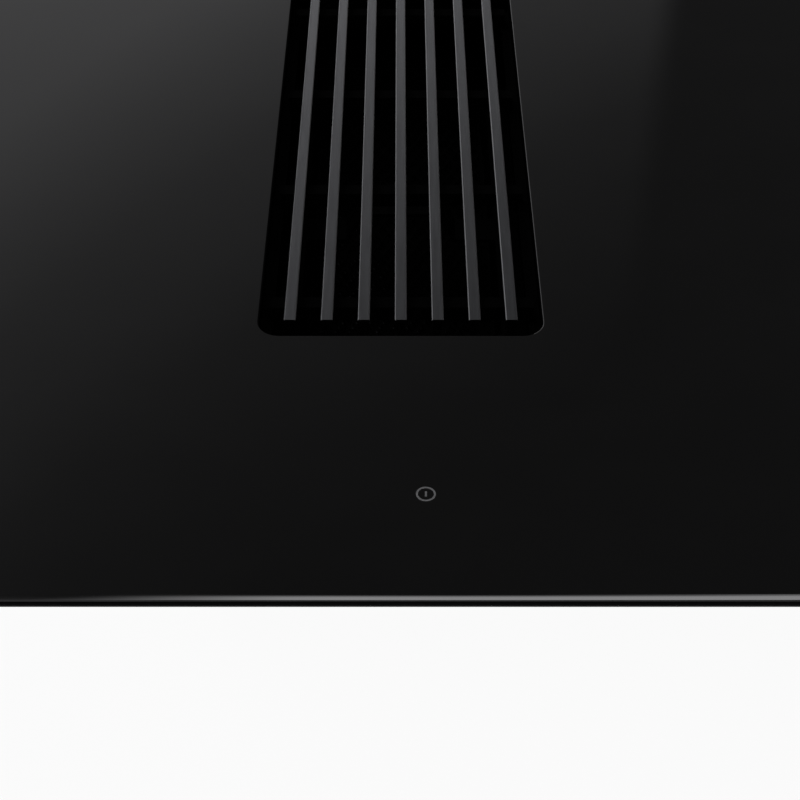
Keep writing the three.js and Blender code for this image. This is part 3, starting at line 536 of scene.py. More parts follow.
def tapered_block(made, low, high, axis="z", shrink=0.0, end=1):
    """A block between two corners. One end, across an axis, may be drawn in."""
    which = "xyz".index(axis)
    corners = []
    for index in range(8):
        spot = [high[a] if index >> a & 1 else low[a] for a in range(3)]
        if (index >> which & 1) == end and shrink:
            for a in range(3):
                if a != which:
                    middle = (low[a] + high[a]) / 2
                    spot[a] = middle + (spot[a] - middle) * (1 - shrink)
        corners.append(made.verts.new(Vector(spot) * MM))
    for face in ((0, 2, 3, 1), (4, 5, 7, 6), (0, 1, 5, 4), (2, 6, 7, 3), (0, 4, 6, 2), (1, 3, 7, 5)):
        made.faces.new([corners[k] for k in face])


def wire(made, path, section, twist=0.0):
    """Carries (sideways, up) points along a path. They may come from a function of the twist."""
    rings = []
    for index, spot in enumerate(path):
        before, after = path[max(index - 1, 0)], path[min(index + 1, len(path) - 1)]
        ahead = (Vector(after) - Vector(before)).normalized()
        across = ahead.cross(Vector((0, 0, 1))).normalized()
        over = across.cross(ahead)
        shape = section(twist * index) if callable(section) else section
        rings.append([made.verts.new((Vector(spot) + across * side + over * up) * MM) for side, up in shape])
    join_rings(made, rings)
    made.faces.new(list(reversed(rings[0])))
    made.faces.new(rings[-1])


# %% From a growing mesh to a piece
def finished_piece(name, made, finish, body="unit", smooth=SHARP_FROM, edges=0.0):
    """Turns a growing mesh into a piece that rides on a body."""
    bmesh.ops.recalc_face_normals(made, faces=made.faces)
    mesh = bpy.data.meshes.new(name)
    made.to_mesh(mesh)
    made.free()
    mesh.materials.append(finishes[finish])
    piece = bpy.data.objects.new(name, mesh)
    scene.collection.objects.link(piece)
    for face in mesh.polygons:
        face.use_smooth = smooth > 0
    if smooth:
        mesh.set_sharp_from_angle(angle=math.radians(smooth))
    if edges:
        break_edges(piece, edges)
    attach(piece, body)
    print(name, len(mesh.polygons), "faces on", body)
    return piece


# %% [markdown]
# ## The glass plate
#
# The front edge of the plate draws a line of light that rises softly, stays bright for a moment and
# falls off. A flat bevel would give a hard-edged band, so the plate is built from rings of points: the
# ground edge, a slightly crowned bevel, the flat top and a fine round arris down into the opening.
# That arris is polished on the right and at the back of the opening. On its left and front sides it takes
# the dark finish of the ground edge, as painted shade.

# %% Rings of the plate
OPENING_LOW, OPENING_HIGH = (-59.4, -119.4), (59.4, 200.0)
OPENING_CORNER = 9
PLATE_CORNER = 6
CORNER_STEPS = 12
# Inset from the outer edge and height above the underside, from the flat top outwards and down.
BEVEL = [(1.84, 4.0), (1.78, 4.0), (1.512, 3.775), (1.36, 3.645), (1.135, 3.447), (0.89, 3.226)]
BEVEL += [(0.635, 2.986), (0.389, 2.737), (0.255, 2.589), (0.091, 2.4), (0.044, 2.335), (0.017, 2.26)]
BEVEL += [(0.0, 2.16), (0.0, 0.3), (0.1, 0.08), (0.32, 0.0)]
# The same at the opening, where a point inside the glass has a negative inset.
ARRIS = [(-0.56, 4.0), (-0.5, 4.0), (-0.33, 3.96), (-0.17, 3.86)]
ARRIS += [(-0.05, 3.7), (0.0, 3.5), (0.0, 0.2), (-0.12, 0.0)]


def plate_rings(made, low, high, corner, profile):
    """Rings round a rectangle with rounded corners, one for each (inset, height) of a profile."""
    foot = box_mm("glass_top")[0][2]
    rings = []
    for inset, height in profile:
        path = rounded_path(low, high, corner, inset, CORNER_STEPS)
        rings.append([made.verts.new(Vector((x, y, foot + height)) * MM) for x, y in path])
    return rings


glass = bmesh.new()
outer = plate_rings(glass, *box_mm("glass_top"), PLATE_CORNER, BEVEL)
hole = plate_rings(glass, OPENING_LOW, OPENING_HIGH, OPENING_CORNER, ARRIS)
join_rings(glass, list(reversed(outer)) + hole, closed=True)
plate = finished_piece("glass_plate", glass, "black_glass", smooth=30)
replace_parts(plate, "glass_top")

# %% Where the plate is polished, where it is ground, and where its arris is painted shade
POLISHED, GROUND_AND_SHADED_ARRIS = range(2)
NEAR_OPENING = 1
plate.data.materials.append(finishes["glass_edge"])
for face in plate.data.polygons:
    by_opening = all(
        low - NEAR_OPENING < place / MM < high + NEAR_OPENING
        for place, low, high in zip(face.center, OPENING_LOW, OPENING_HIGH)
    )
    # The arris on the left and front sides of the opening takes the dark ground finish: painted shade.
    shaded_arris = by_opening and face.normal.x + face.normal.y > 0.1
    face.material_index = GROUND_AND_SHADED_ARRIS if face.normal.z < 0.2 or shaded_arris else POLISHED
print("ground faces", sum(face.material_index for face in plate.data.polygons))

# %% [markdown]
# ## Screws
#
# A pan-head screw is a turned dome with a six-lobed recess. The same profile serves every size.

# %% A set of screws
def screws(name, spots, direction, radius):
    """Pan-head screws with lobed recesses, standing on a surface."""
    height, recess = 0.62 * radius, 0.42 * radius
    profile = [(0, -0.5), (0.5 * radius, -0.5), (0.5 * radius, CLEAR), (radius, CLEAR)]
    profile += [(radius, 0.3 * height), (0.9 * radius, 0.72 * height), (0.7 * radius, height)]
    profile += [(recess + 0.14 * radius, height), (recess, 0.96 * height, 0.1 * recess)]
    profile += [(recess, 0.3 * height, 0.1 * recess), (0, 0.25 * height)]
    made = bmesh.new()
    for spot in spots:
        turned(made, profile, to_world(direction, spot))
    finished_piece(name, made, "stainless")


# %% Screws of the terminal cover, the spigot and the fans
COVER_INSET, FAN_INSET, SPIGOT_INSET = 6, 4.3, 3
SPIGOT_FOOT_INSET = 2.6
SPIGOT_FLANGE = 2.5
cover_low, cover_high = box_mm("terminal_cover")
cover_corners = corners_of(cover_low, cover_high, COVER_INSET, cover_low[2])
screws("terminal_cover_screws", cover_corners, DOWNWARDS, 3.0)

spigot_low, spigot_high = box_mm("outlet_spigot")
spigot_middle = (spigot_low[0] + spigot_high[0]) / 2
spigot_spots = [
    (x, spigot_low[1] + SPIGOT_FLANGE, z)
    for x in (spigot_low[0] + SPIGOT_INSET, spigot_middle, spigot_high[0] - SPIGOT_INSET)
    for z in (spigot_low[2] + SPIGOT_FOOT_INSET, spigot_high[2] - SPIGOT_INSET)
]
screws("spigot_screws", spigot_spots, BACKWARDS, 2.3)

for side in ("left", "right"):
    fan_low, fan_high = box_mm(f"fan_housing_{side}")
    fan_corners = corners_of(fan_low, fan_high, FAN_INSET, fan_high[2])
    screws(f"fan_screws_{side}", fan_corners, UPWARDS, 2.6)

# %% [markdown]
# ## The air box
#
# A moulded tub of this size would drum, so it is stiffened by ribs on its walls and hangs by a flange
# that is screwed to the pan. Each rib starts a little inside its wall, so that no gap shows there.

# %% Flange of the air box
FLANGE = 7
FLANGE_THICK = 3
BITE = 0.5
tub_low, tub_high = box_mm("air_box")
tub = bmesh.new()
flange_top = tub_high[2] - 0.1
sides, ends = (on_walls(tub_low[a], tub_high[a], BITE, FLANGE) for a in range(2))
blocks = [(sides[0][0], near, sides[1][1], far) for near, far in ends]
blocks += [(near, ends[0][1] + CLEAR, far, ends[1][0] - CLEAR) for near, far in sides]
for x0, y0, x1, y1 in blocks:
    tapered_block(tub, (x0, y0, flange_top - FLANGE_THICK), (x1, y1, flange_top))
rib_top = flange_top - FLANGE_THICK - CLEAR
print("flange under", round(flange_top, 1), "mm")

# %% Ribs of the air box
RIB = 2.4
RIB_REACH = 5
RIB_PITCH = 46
RIB_FOOT = 6
FRONT_RIB_FOOT = 50
WALL_END = 14
BEFORE_SIDE_RIBS = 52
SPIGOT_BESIDE, SPIGOT_ABOVE = 4, 3


def rib_places(start, stop):
    """Places for ribs at an even pitch, with the spare length shared by both ends."""
    count = int((stop - start) // RIB_PITCH)
    spare = (stop - start) - count * RIB_PITCH
    return [start + spare / 2 + k * RIB_PITCH for k in range(count + 1)]


front_ribs = rib_places(tub_low[0] + WALL_END, tub_high[0] - WALL_END)
side_ribs = rib_places(tub_low[1] + BEFORE_SIDE_RIBS, tub_high[1] - WALL_END)
for x in front_ribs:
    by_spigot = spigot_low[0] - SPIGOT_BESIDE < x < spigot_high[0] + SPIGOT_BESIDE
    feet = FRONT_RIB_FOOT, spigot_high[2] + SPIGOT_ABOVE if by_spigot else RIB_FOOT
    for (near, far), foot in zip(on_walls(tub_low[1], tub_high[1], BITE, RIB_REACH), feet):
        tapered_block(tub, (x - RIB / 2, near, foot), (x + RIB / 2, far, rib_top))
for y in side_ribs:
    for near, far in on_walls(tub_low[0], tub_high[0], BITE, RIB_REACH):
        tapered_block(tub, (near, y - RIB / 2, RIB_FOOT), (far, y + RIB / 2, rib_top))
finished_piece("air_box_ribs", tub, "black_plastic", edges=0.5)

# %% Screws of the flange, halfway between the ribs
flange_screws = [
    (x + RIB_PITCH / 2, y, rib_top)
    for x in front_ribs[:-1]
    for y in (tub_low[1] - FLANGE / 2, tub_high[1] + FLANGE / 2)
]
flange_screws += [
    (x, y + RIB_PITCH / 2, rib_top)
    for y in side_ribs[:-1]
    for x in (tub_low[0] - FLANGE / 2, tub_high[0] + FLANGE / 2)
]
screws("air_box_screws", flange_screws, DOWNWARDS, 2.6)

# %% [markdown]
# ## The pan
#
# The zinc-coated pan is folded from sheet. Its upright rim is stiffened by a pressed bead and carries
# the rivets that hold the corner joints.

# %% Bead of the pan
EAR_REACH = 20
RIM_LIP = 4
BEAD_DROP = 11
BEAD_RADIUS = 1.5
BEAD_GAP = 22
_, pan_high = box_mm("base_pan")
RIM_X, RIM_Y = pan_high[0] - EAR_REACH, pan_high[1] - RIM_LIP
bead_section = [(BEAD_RADIUS * math.cos(a), BEAD_RADIUS * math.sin(a)) for a in even_angles(10)]
bead_level = pan_high[2] - BEAD_DROP
beads = bmesh.new()
for y in (-RIM_Y, RIM_Y):
    wire(beads, [(x, y, bead_level) for x in (-RIM_X + BEAD_GAP, 0, RIM_X - BEAD_GAP)], bead_section)
for x in (-RIM_X, RIM_X):
    wire(beads, [(x, y, bead_level) for y in (-RIM_Y + BEAD_GAP, 0, RIM_Y - BEAD_GAP)], bead_section)
finished_piece("pan_beads", beads, "galvanised")

# %% Rivets of the pan
RIVET_FROM_CORNER = 9
RIVET_DROPS = (6, 15)
RIVET = [(0, -0.4), (1.4, -0.4), (1.4, CLEAR), (2.6, CLEAR), (2.4, 0.5), (1.7, 0.95), (0, 1.15)]
rivets = bmesh.new()
near_x, near_y = RIM_X - RIVET_FROM_CORNER, RIM_Y - RIVET_FROM_CORNER
rivet_spots = [(x, y * RIM_Y, (0, y, 0)) for x in (-near_x, near_x) for y in (-1, 1)]
rivet_spots += [(x * RIM_X, y, (x, 0, 0)) for y in (-near_y, near_y) for x in (-1, 1)]
for x, y, outwards in rivet_spots:
    for drop in RIVET_DROPS:
        place = to_world(outwards, (x, y, pan_high[2] - drop))
        turned(rivets, RIVET, place, steps=16)
finished_piece("pan_rivets", rivets, "stainless")

# %% [markdown]
# ## The duct outlet
#
# The flat duct is pushed over the spigot, so a soft ring round it makes the joint tight. The flap
# behind it is a thin moulding with stiffening ribs, and it closes on a rubber lip.

# %% The duct's seal
TUBE_INSET = 6
TUBE_HEIGHT = 89
TUBE_CORNER = 2.0
SEAL_PLACES = (232, 236)
# The seal's section: outwards from the tube, and along the duct.
LIP = [(-0.4, -1.6), (0.5, -1.4), (1.3, -0.4), (1.5, 0.3), (0.5, 1.2), (-0.4, 1.5)]
tube_low = (spigot_low[0] + TUBE_INSET, spigot_high[2] - TUBE_INSET - TUBE_HEIGHT)
tube_high = (spigot_high[0] - TUBE_INSET, spigot_high[2] - TUBE_INSET)
seal_ring = bmesh.new()
for y in SEAL_PLACES:
    path = [Vector((x, y, z)) for x, z in rounded_path(tube_low, tube_high, TUBE_CORNER, 0, 4)]
    rings = []
    for index, spot in enumerate(path):
        ahead = (path[(index + 1) % len(path)] - path[index - 1]).normalized()
        out = Vector(BACKWARDS).cross(ahead)
        places = [(spot + out * side + Vector((0, along, 0))) * MM for side, along in LIP]
        rings.append([seal_ring.verts.new(place) for place in places])
    join_rings(seal_ring, rings, closed=True)
finished_piece("duct_seal", seal_ring, "foam")

# %% Ribs of the flap
FLAP_FACE = 226.6
FLAP_RIB_BACK = FLAP_FACE - 0.3
HALF_RIB = 0.7
UPRIGHT_RIBS = (135, 174.5, 214, 253.5, 293)
UPRIGHT_REACH, UPRIGHT_INSET, UPRIGHT_TOP = 1.5, 5, 80
LEVEL_RIBS = (28, 60)
LEVEL_REACH, LEVEL_START, LEVEL_STOP = 1.48, 112, 316
upright_foot = box_mm("backdraft_flap")[0][2] + UPRIGHT_INSET
flap_ribs = bmesh.new()
for x in UPRIGHT_RIBS:
    low = (x - HALF_RIB, FLAP_RIB_BACK, upright_foot)
    tapered_block(flap_ribs, low, (x + HALF_RIB, FLAP_FACE + UPRIGHT_REACH, UPRIGHT_TOP), "y", 0.15)
for z in LEVEL_RIBS:
    low = (LEVEL_START, FLAP_RIB_BACK, z - HALF_RIB)
    tapered_block(flap_ribs, low, (LEVEL_STOP, FLAP_FACE + LEVEL_REACH, z + HALF_RIB), "y", 0.1)
finished_piece("flap_ribs", flap_ribs, "grey_plastic", "flap")

# %% [markdown]
# ## Cable gland and terminal box
#
# The mains cable enters through a gland whose nut is ribbed for the fingers. Upright ribs stiffen the
# walls of the terminal box, and a row of low ribs stiffens its cover.

# %% Gland nut
gland_low, gland_high = box_mm("cable_gland")
gland_spot = ((gland_low[0] + gland_high[0]) / 2, gland_low[1], (gland_low[2] + gland_high[2]) / 2)
gland = bmesh.new()
nut = [(8.8, 8.0), (9.9, 8.2, 0.22), (9.9, 11.4, 0.22), (9.3, 12.4, 0.1), (8.8, 12.9)]
turned(gland, nut, to_world(BACKWARDS, gland_spot), steps=96, lobes=16, closed=True)
finished_piece("gland_nut", gland, "grey_plastic")

# %% Ribs of the terminal box
WALL_BITE, WALL_REACH, HALF_WALL_RIB = 0.3, 1.4, 1
WALL_RIB_INSET, WALL_RIB_TOP = 2, 146.5
FRONT_WALL_RIBS = (-316, -300, -270, -254)
SIDE_WALL_RIBS = (180, 190, 200, 210)
COVER_RIBS = (186, 193.5, 201, 208.5)
COVER_RIB_START, COVER_RIB_STOP, COVER_RIB_HEIGHT = -312, -258, 0.8
terminal_low, terminal_high = box_mm("terminal_box")
walls = [on_walls(terminal_low[a], terminal_high[a], WALL_BITE, WALL_REACH) for a in range(2)]
foot = terminal_low[2] + WALL_RIB_INSET
box_ribs = bmesh.new()
near, far = walls[1][0]
for x in FRONT_WALL_RIBS:
    tapered_block(box_ribs, (x - HALF_WALL_RIB, near, foot), (x + HALF_WALL_RIB, far, WALL_RIB_TOP))
for y in SIDE_WALL_RIBS:
    for near, far in walls[0]:
        tapered_block(box_ribs, (near, y - HALF_WALL_RIB, foot), (far, y + HALF_WALL_RIB, WALL_RIB_TOP))
for y in COVER_RIBS:
    low = (COVER_RIB_START, y - HALF_WALL_RIB, cover_low[2] - COVER_RIB_HEIGHT)
    high = (COVER_RIB_STOP, y + HALF_WALL_RIB, cover_low[2] + WALL_BITE)
    tapered_block(box_ribs, low, high, "z", 0.04, end=0)
finished_piece("terminal_ribs", box_ribs, "black_plastic", edges=0.25)

# %% [markdown]
# ## Threads of the clamp bolts
#
# A thread is one ridge carried along a helix. It rides with its bolt, so it rises with the clamp.

# %% Threads
THREAD_PITCH = 1.25
THREAD_RADIUS = 2.95
THREAD_START, THREAD_STOP = 6, 29
# The ridge sinks into the bolt at both ends.
RUN_OUT, RUN_OUT_STEPS = 0.28, 12
THREAD_STEPS = 20
THREAD = [(-0.2, -0.45), (0.2, 0.0), (-0.2, 0.45)]
for side in ("left", "right"):
    bolt_low, bolt_high = box_mm(f"clamp_bolt_{side}")
    middle = [(a + b) / 2 for a, b in zip(bolt_low, bolt_high)]
    start, stop = bolt_low[2] + THREAD_START, bolt_low[2] + THREAD_STOP
    steps = int((stop - start) / THREAD_PITCH * THREAD_STEPS)
    helix = []
    for k in range(steps + 1):
        reach = THREAD_RADIUS - RUN_OUT * max(0, 1 - min(k, steps - k) / RUN_OUT_STEPS)
        angle = 2 * math.pi * k / THREAD_STEPS
        helix.append(around(middle, reach, angle, start + THREAD_PITCH * k / THREAD_STEPS))
    thread = bmesh.new()
    wire(thread, helix, THREAD)
    finished_piece(f"bolt_thread_{side}", thread, "stainless", f"bolt_{side}", smooth=60)

# %% [markdown]
# ## Windings
#
# The CAD has a plain ring where each induction winding lies. The real one is a flat spiral of stranded
# wire, so each ring is replaced by one long wire whose section is lobed and twists as it goes.

# %% Windings
TURNS = 17
TURN_STEPS = 54
BORE_RADIUS = 24
GAP = 0.1
WIRE_HALF = (1.75, 2.7)
STRANDS = 4
TWIST = 0.55


def litz_section(turn):
    """The outline of the stranded wire, turned by an angle."""
    outline = []
    for angle in even_angles(12):
        swell = 0.95 + 0.05 * math.cos(STRANDS * angle - turn)
        outline.append((WIRE_HALF[0] * math.cos(angle) * swell, WIRE_HALF[1] * math.sin(angle) * swell))
    return outline


for place in ("front_left", "rear_left", "front_right", "rear_right"):
    coil_low, coil_high = box_mm(f"coil_{place}")
    middle = [(a + b) / 2 for a, b in zip(coil_low, coil_high)]
    outer = (coil_high[0] - coil_low[0]) / 2 - WIRE_HALF[0] - GAP
    inner = BORE_RADIUS + WIRE_HALF[0] + GAP
    spiral = []
    for k in range(TURNS * TURN_STEPS + 1):
        reach = inner + (outer - inner) * k / (TURNS * TURN_STEPS)
        spiral.append(around(middle, reach, 2 * math.pi * k / TURN_STEPS, middle[2]))
    winding = bmesh.new()
    wire(winding, spiral, litz_section, twist=TWIST)
    piece = finished_piece(f"winding_{place}", winding, "copper", smooth=60)
    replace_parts(piece, f"coil_{place}")

# %% [markdown]
# ## The grease filter's mesh
#
# Expanded metal is sheet that is slit and pulled open, so it is a lattice of narrow strands. Two sets
# of slanting ribbons that touch where they cross give that lattice, and five layers lie on each other.

# %% Strands of the mesh
LAYERS = 5
FIRST_LAYER, LAYER_PITCH, LAYER_SHIFT = 1.2, 2.35, 0.37
HALF_APART = 0.24
SLANT = 0.5
OPEN = 7.0
SHORTEST = 4
MESH_EDGE = 0.6
STRAND = [(-0.45, -0.25), (0.45, -0.25), (0.45, 0.25), (-0.45, 0.25)]
mesh_low, mesh_high = box_mm("filter_mesh")
x0, x1 = mesh_low[0] + MESH_EDGE, mesh_high[0] - MESH_EDGE
y0, y1 = mesh_low[1] + MESH_EDGE, mesh_high[1] - MESH_EDGE
spread = SLANT * (y1 - y0)
lattice = bmesh.new()
for layer in range(LAYERS):
    level = mesh_low[2] + FIRST_LAYER + layer * LAYER_PITCH
    for way in (-1, 1):
        start = x0 - (spread if way > 0 else 0) + layer * OPEN * LAYER_SHIFT % OPEN
        while start < x1 + (0 if way > 0 else spread):
            # x = start + way * SLANT * (y - y0), kept inside the frame
            edges = sorted((y0 + (side - start) / (way * SLANT)) for side in (x0, x1))
            ends = max(y0, edges[0]), min(y1, edges[1])
            if ends[1] - ends[0] > SHORTEST:
                places = [(start + way * SLANT * (y - y0), y, level + way * HALF_APART) for y in ends]
                wire(lattice, places, STRAND)
            start += OPEN
print("strands", len(lattice.verts) // 8)

# %% Rim of the mesh
RIM, RIM_OVER = 1.6, 0.5
RIM_INSET = 0.1
sides, ends = on_walls(x0, x1, RIM, RIM_OVER), on_walls(y0, y1, RIM, RIM_OVER)
blocks = [(near, ends[0][0], far, ends[1][1]) for near, far in sides]
blocks += [(sides[0][1] + CLEAR, near, sides[1][0] - CLEAR, far) for near, far in ends]
for x0, y0, x1, y1 in blocks:
    tapered_block(lattice, (x0, y0, mesh_low[2] + RIM_INSET), (x1, y1, mesh_high[2] - RIM_INSET))
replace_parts(finished_piece("filter_lattice", lattice, "coated_metal", "filter", smooth=0), "filter_mesh")

# %% [markdown]
# ## Electronics
#
# Each power board carries its tall parts: electrolytic capacitors, wound chokes, film capacitors, and
# the power transistors that are clamped to the heat sink. The touch board carries a few flat chips.

# %% Cans and chokes
def can(made, x, y, foot, radius, height):
    """An electrolytic capacitor: a can with a crimped groove and a dished top."""
    profile = [(0, CLEAR), (radius, CLEAR), (radius, 0.1 * height), (0.9 * radius, 0.14 * height)]
    profile += [(radius, 0.18 * height), (radius, 0.97 * height), (0.94 * radius, height)]
    profile += [(0.8 * radius, height), (0.76 * radius, 0.98 * height), (0, 0.98 * height)]
    turned(made, profile, to_world(UPWARDS, (x, y, foot)), steps=32)


def choke(made, x, y, foot, radius, height):
    """A wound toroid that lies flat: the winding shows as lobes round a ring."""
    middle, half, bulge, lobe = 0.68 * radius, 0.3 * radius, 0.42 * height, 0.025 * radius
    profile = [
        (middle + half * math.cos(angle), 0.5 * height + bulge * math.sin(angle), lobe)
        for angle in even_angles(12)
    ]
    turned(made, profile, to_world(UPWARDS, (x, y, foot)), steps=120, lobes=24, closed=True)


# %% Parts on the power boards
# Each has its place, sideways from the middle and from front to back, and then its size.
CANS = ((246, -118, 9, 24), (246, -96, 9, 24), (246, -74, 9, 24), (224, -112, 6.5, 20))
CHOKES = ((236, -30, 15, 12), (236, 8, 15, 12))
FILMS = [(236, y, 14, 10, 17) for y in (46, 62, 78, 120, 136)]
FILMS += [(240, y, 12, 14, 12) for y in (150, 168)]
TRANSISTORS = [(190.5, y, 2.2, 15, 19) for y in range(-84, 130, 32)]
PINS = (3.5, 7.5, 11.5)
PIN_X, PIN_HEIGHT = 194.5, 1.2


def stand(made, way, foot, x, y, half, length, height):
    """A block that stands on a power board."""
    tapered_block(made, (way * x - half, y, foot + CLEAR), (way * x + half, y + length, foot + height))


for side, way in (("left", -1), ("right", 1)):
    foot = box_mm(f"power_board_{side}")[1][2]
    cans, chokes, blocks, clips = (bmesh.new() for _ in range(4))
    for x, y, radius, height in CANS:
        can(cans, way * x, y, foot, radius, height)
    for x, y, radius, height in CHOKES:
        choke(chokes, way * x, y, foot, radius, height)
    for film in FILMS:
        stand(blocks, way, foot, *film)
    for x, y, *size in TRANSISTORS:
        stand(clips, way, foot, x, y, *size)
        for pin in PINS:
            low = (way * PIN_X - 1.9, y + pin - 0.5, foot + CLEAR)
            tapered_block(clips, low, (way * PIN_X + 0.4, y + pin + 0.5, foot + PIN_HEIGHT))
    finished_piece(f"capacitors_{side}", cans, "black_plastic")
    finished_piece(f"chokes_{side}", chokes, "copper", smooth=60)
    finished_piece(f"film_capacitors_{side}", blocks, "grey_plastic", edges=0.6)
    finished_piece(f"transistors_{side}", clips, "black_plastic", edges=0.2)

# %% Chips under the touch board
CHIPS = ((-60, 5), (-20, 3.5), (35, 5), (70, 3.5))
CHIP_ROW = -213
CHIP_HEIGHT = 0.22
top = box_mm("touch_board")[0][2] - CLEAR
chips = bmesh.new()
for x, half in CHIPS:
    low, high = (x - half, CHIP_ROW - half, top - CHIP_HEIGHT), (x + half, CHIP_ROW + half, top)
    tapered_block(chips, low, high, "z", 0.06, end=0)
finished_piece("touch_chips", chips, "black_plastic")

# %% [markdown]
# ## The printed symbol
#
# The on/off mark is a thin film of pale ink: a ring with a short bar inside. It is made as real
# geometry a few hundredths of a millimetre thick, so it stays crisp however close the view comes.

# %% The printed symbol
SYMBOL_X = 9.24
SYMBOL_FROM_FRONT = 50.0
RING_RADIUS = 3.34
STROKE = 0.77
BAR_LENGTH = 2.7
INK = 0.02

symbol = bmesh.new()
symbol_y = glass_low.y / MM + SYMBOL_FROM_FRONT
foot, top = glass_high.z / MM + 0.25 * INK, glass_high.z / MM + INK
inner, outer = RING_RADIUS - STROKE / 2, RING_RADIUS + STROKE / 2
profile = [(inner, top), (outer, top), (outer, foot), (inner, foot)]
turned(symbol, profile, to_world(UPWARDS, (SYMBOL_X, symbol_y, 0)), steps=72, closed=True)
low = (SYMBOL_X - STROKE / 2, symbol_y - BAR_LENGTH / 2, foot)
tapered_block(symbol, low, (SYMBOL_X + STROKE / 2, symbol_y + BAR_LENGTH / 2, top))
finished_piece("power_symbol", symbol, "ink", smooth=0)

# %% [markdown]
# ## The sky
#
# Polished black glass has almost no colour of its own: what shows is what it reflects. So what the
# glass mirrors here are soft panels that are painted into the sky, because a lamp's hard rim would show
# as a hard line. Behind the cooktop one is bright low on the left, fades upwards and ends in a straight
# edge on the right. A low one in front draws the bright line on the bevel, and a high one at the rear
# left gives the slats their fall of light. Towards the horizon the sky turns white, like a backdrop.

# %% The straight edge of the rear panel
# Where the edge runs through the picture, in pixels.
EDGE_TOP = (668, 0)
EDGE_LOW = (622, 350)
PICTURE_MIDDLE = PICTURE_SIZE / 2
FOCAL_PIXELS = CAMERA_LENS / SENSOR_WIDTH * PICTURE_SIZE


def mirrored_ray(pixel):
    """Where the glass sends the view ray through a pixel of the picture."""
    right = (pixel[0] - PICTURE_MIDDLE) / FOCAL_PIXELS
    down = (pixel[1] - PICTURE_MIDDLE) / FOCAL_PIXELS
    forward = math.cos(CAMERA_TILT) - down * math.sin(CAMERA_TILT)
    upward = math.sin(CAMERA_TILT) + down * math.cos(CAMERA_TILT)
    return Vector((right, forward, upward)).normalized()


edge_plane = mirrored_ray(EDGE_TOP).cross(mirrored_ray(EDGE_LOW)).normalized()
if edge_plane.x < 0:
    edge_plane.negate()
print("edge of the rear panel", [round(v, 3) for v in edge_plane])

# %% The sky and where a ray goes
world = bpy.data.worlds.new("studio")
scene.world = world
world.use_nodes = True
sky = world.node_tree
direction = node(sky, "ShaderNodeTexCoord").outputs["Generated"]
axes = node(sky, "ShaderNodeSeparateXYZ", {0: direction}).outputs


def sky_panel(sideways, upwards, radiance):
    """A soft-edged panel. Each way has four angles: where it starts, is full, is still full and ends.

    Sideways angles are turned from the direction of the cook, to the right where positive.
    """
    middle = math.radians((sideways[1] + sideways[2]) / 2)
    ahead = (math.sin(middle), -math.cos(middle), 0)
    beside = (math.cos(middle), math.sin(middle), 0)
    turned_by = maths(sky, "ARCTAN2", dot(sky, direction, beside), dot(sky, direction, ahead))
    raised_by = maths(sky, "ARCSINE", axes["Z"])
    shape = radiance
    for angle, stops, start in ((turned_by, sideways, middle), (raised_by, upwards, 0.0)):
        begin, full, still, end = (math.radians(stop) - start for stop in stops)
        shape = maths(sky, "MULTIPLY", remap(sky, angle, begin, full), shape)
        shape = maths(sky, "MULTIPLY", remap(sky, angle, end, still), shape)
    return shape


print("sky", world.name)

# %% The panels
# The rear panel: how high a ray goes, and how bright it is there.
PANEL_STOPS = [(0.05, 0.32), (0.35, 0.42), (0.477, 0.42), (0.53, 0.4), (0.58, 0.275)]
PANEL_STOPS += [(0.63, 0.165), (0.68, 0.12), (0.724, 0.06), (0.764, 0.035), (0.85, 0.0)]
PANEL_SLANT, SLANT_FROM = 0.5, 0.255
EDGE_SOFTNESS = 0.012
SKY_BASE = 0.055
SKY_COLOUR = (0.985, 0.98, 1.0, 1)
slant = maths(sky, "MULTIPLY", maths(sky, "ADD", axes["X"], SLANT_FROM), PANEL_SLANT)
ramp = node(sky, "ShaderNodeValToRGB", {"Fac": maths(sky, "ADD", axes["Z"], slant)})
stops = ramp.color_ramp.elements
stops.remove(stops[1])
stops[0].position = PANEL_STOPS[0][0]
for position, _ in PANEL_STOPS[1:]:
    stops.new(position)
for stop, (_, grey) in zip(stops, PANEL_STOPS):
    stop.color = (grey, grey, grey, 1)
within = remap(sky, dot(sky, direction, tuple(edge_plane)), EDGE_SOFTNESS, -EDGE_SOFTNESS)
level = maths(sky, "ADD", maths(sky, "MULTIPLY", ramp.outputs["Color"], within), SKY_BASE)
lights = {
    "low glow": remap(sky, axes["Z"], 0.42, 0.1, 0.0, 0.1),
    "horizon": remap(sky, axes["Z"], 0.27, 0.19, 0.0, 0.94),
    "front panel": sky_panel((-18.5, -3, 26, 36), (31, 36, 44, 50), 5.3),
    "rear left panel": sky_panel((-153, -149, -121, -117), (43, 48, 68, 73), 8.2),
}
for light in lights.values():
    level = maths(sky, "ADD", level, light)
feed(sky, sky.nodes["Background"], Color=SKY_COLOUR, Strength=level)
print("lights in the sky", ["rear panel", *lights])

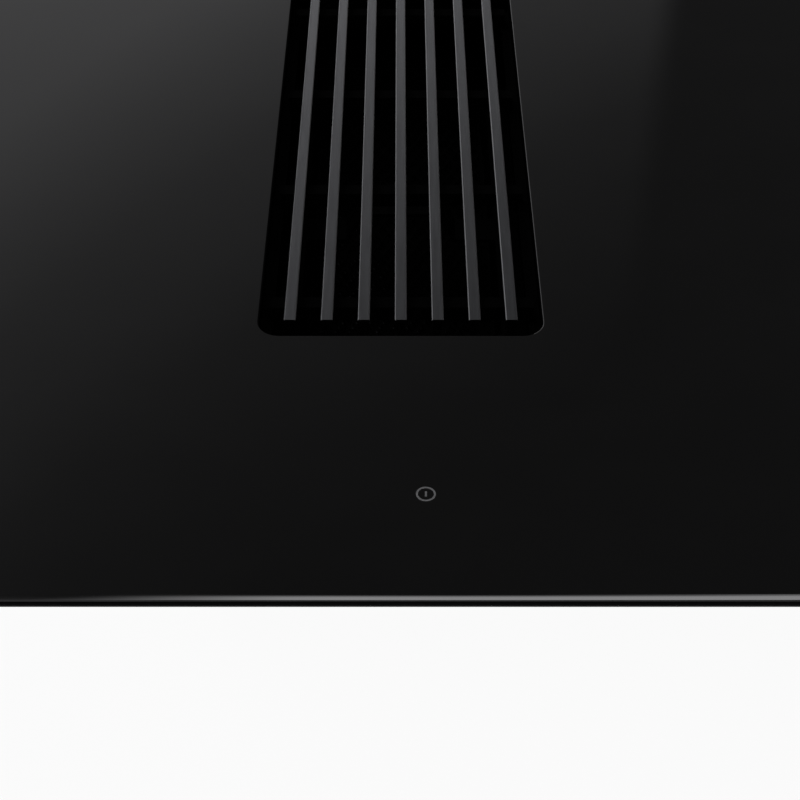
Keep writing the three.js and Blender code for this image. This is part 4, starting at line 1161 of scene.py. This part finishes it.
# %% [markdown]
# ## A lamp and a floor
#
# A wide lamp overhead lights the matt surfaces. It isn't mirrored, so that the glass stays black when it
# is looked at from above. The floor is white to the eye and in reflections, and only its weak share of
# plain diffuse white keeps a trace of the cooktop's shadow.

# %% The lamp overhead
LAMP_HEIGHT = 4.0
LAMP_WIDTH = 3.0
LAMP_POWER = 62
lamp_data = bpy.data.lights.new("overhead", "AREA")
lamp_data.shape = "DISK"
lamp_data.size = LAMP_WIDTH
lamp_data.energy = LAMP_POWER
lamp = bpy.data.objects.new("overhead", lamp_data)
lamp.location = (0, 0, LAMP_HEIGHT)
lamp.visible_glossy = False
scene.collection.objects.link(lamp)
print("lamp", LAMP_POWER, "W")

# %% The floor
FLOOR_REACH = 60
FLOOR_DROP = 0.2 * MM
KEPT_SHADOW = 0.06
floor_mesh = bpy.data.meshes.new("floor")
corners = [(x * FLOOR_REACH, y * FLOOR_REACH, 0) for x, y in ((-1, -1), (1, -1), (1, 1), (-1, 1))]
floor_mesh.from_pydata(corners, [], [(0, 1, 2, 3)])
floor = bpy.data.objects.new("floor", floor_mesh)
floor.location.z = cad_low[2] - FLOOR_DROP
scene.collection.objects.link(floor)
floor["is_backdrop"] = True
floor_material = bpy.data.materials.new("floor")
floor_material.use_nodes = True
tree = floor_material.node_tree
shadowed = node(tree, "ShaderNodeBsdfDiffuse", {"Color": (0.95, 0.95, 0.95, 1)})
white = node(tree, "ShaderNodeEmission", {"Color": (1, 1, 1, 1), "Strength": 1.0})
path = node(tree, "ShaderNodeLightPath").outputs
seen = maths(tree, "MAXIMUM", path["Is Camera Ray"], path["Is Glossy Ray"])
seen = maths(tree, "MAXIMUM", seen, path["Is Transmission Ray"])
share = maths(tree, "MULTIPLY", seen, 1 - KEPT_SHADOW)
surface = node(tree, "ShaderNodeMixShader", {0: share, 1: shadowed.outputs[0], 2: white.outputs[0]})
feed(tree, tree.nodes["Material Output"], Surface=surface.outputs[0])
floor_mesh.materials.append(floor_material)
print("floor at", round(floor.location.z, 4))
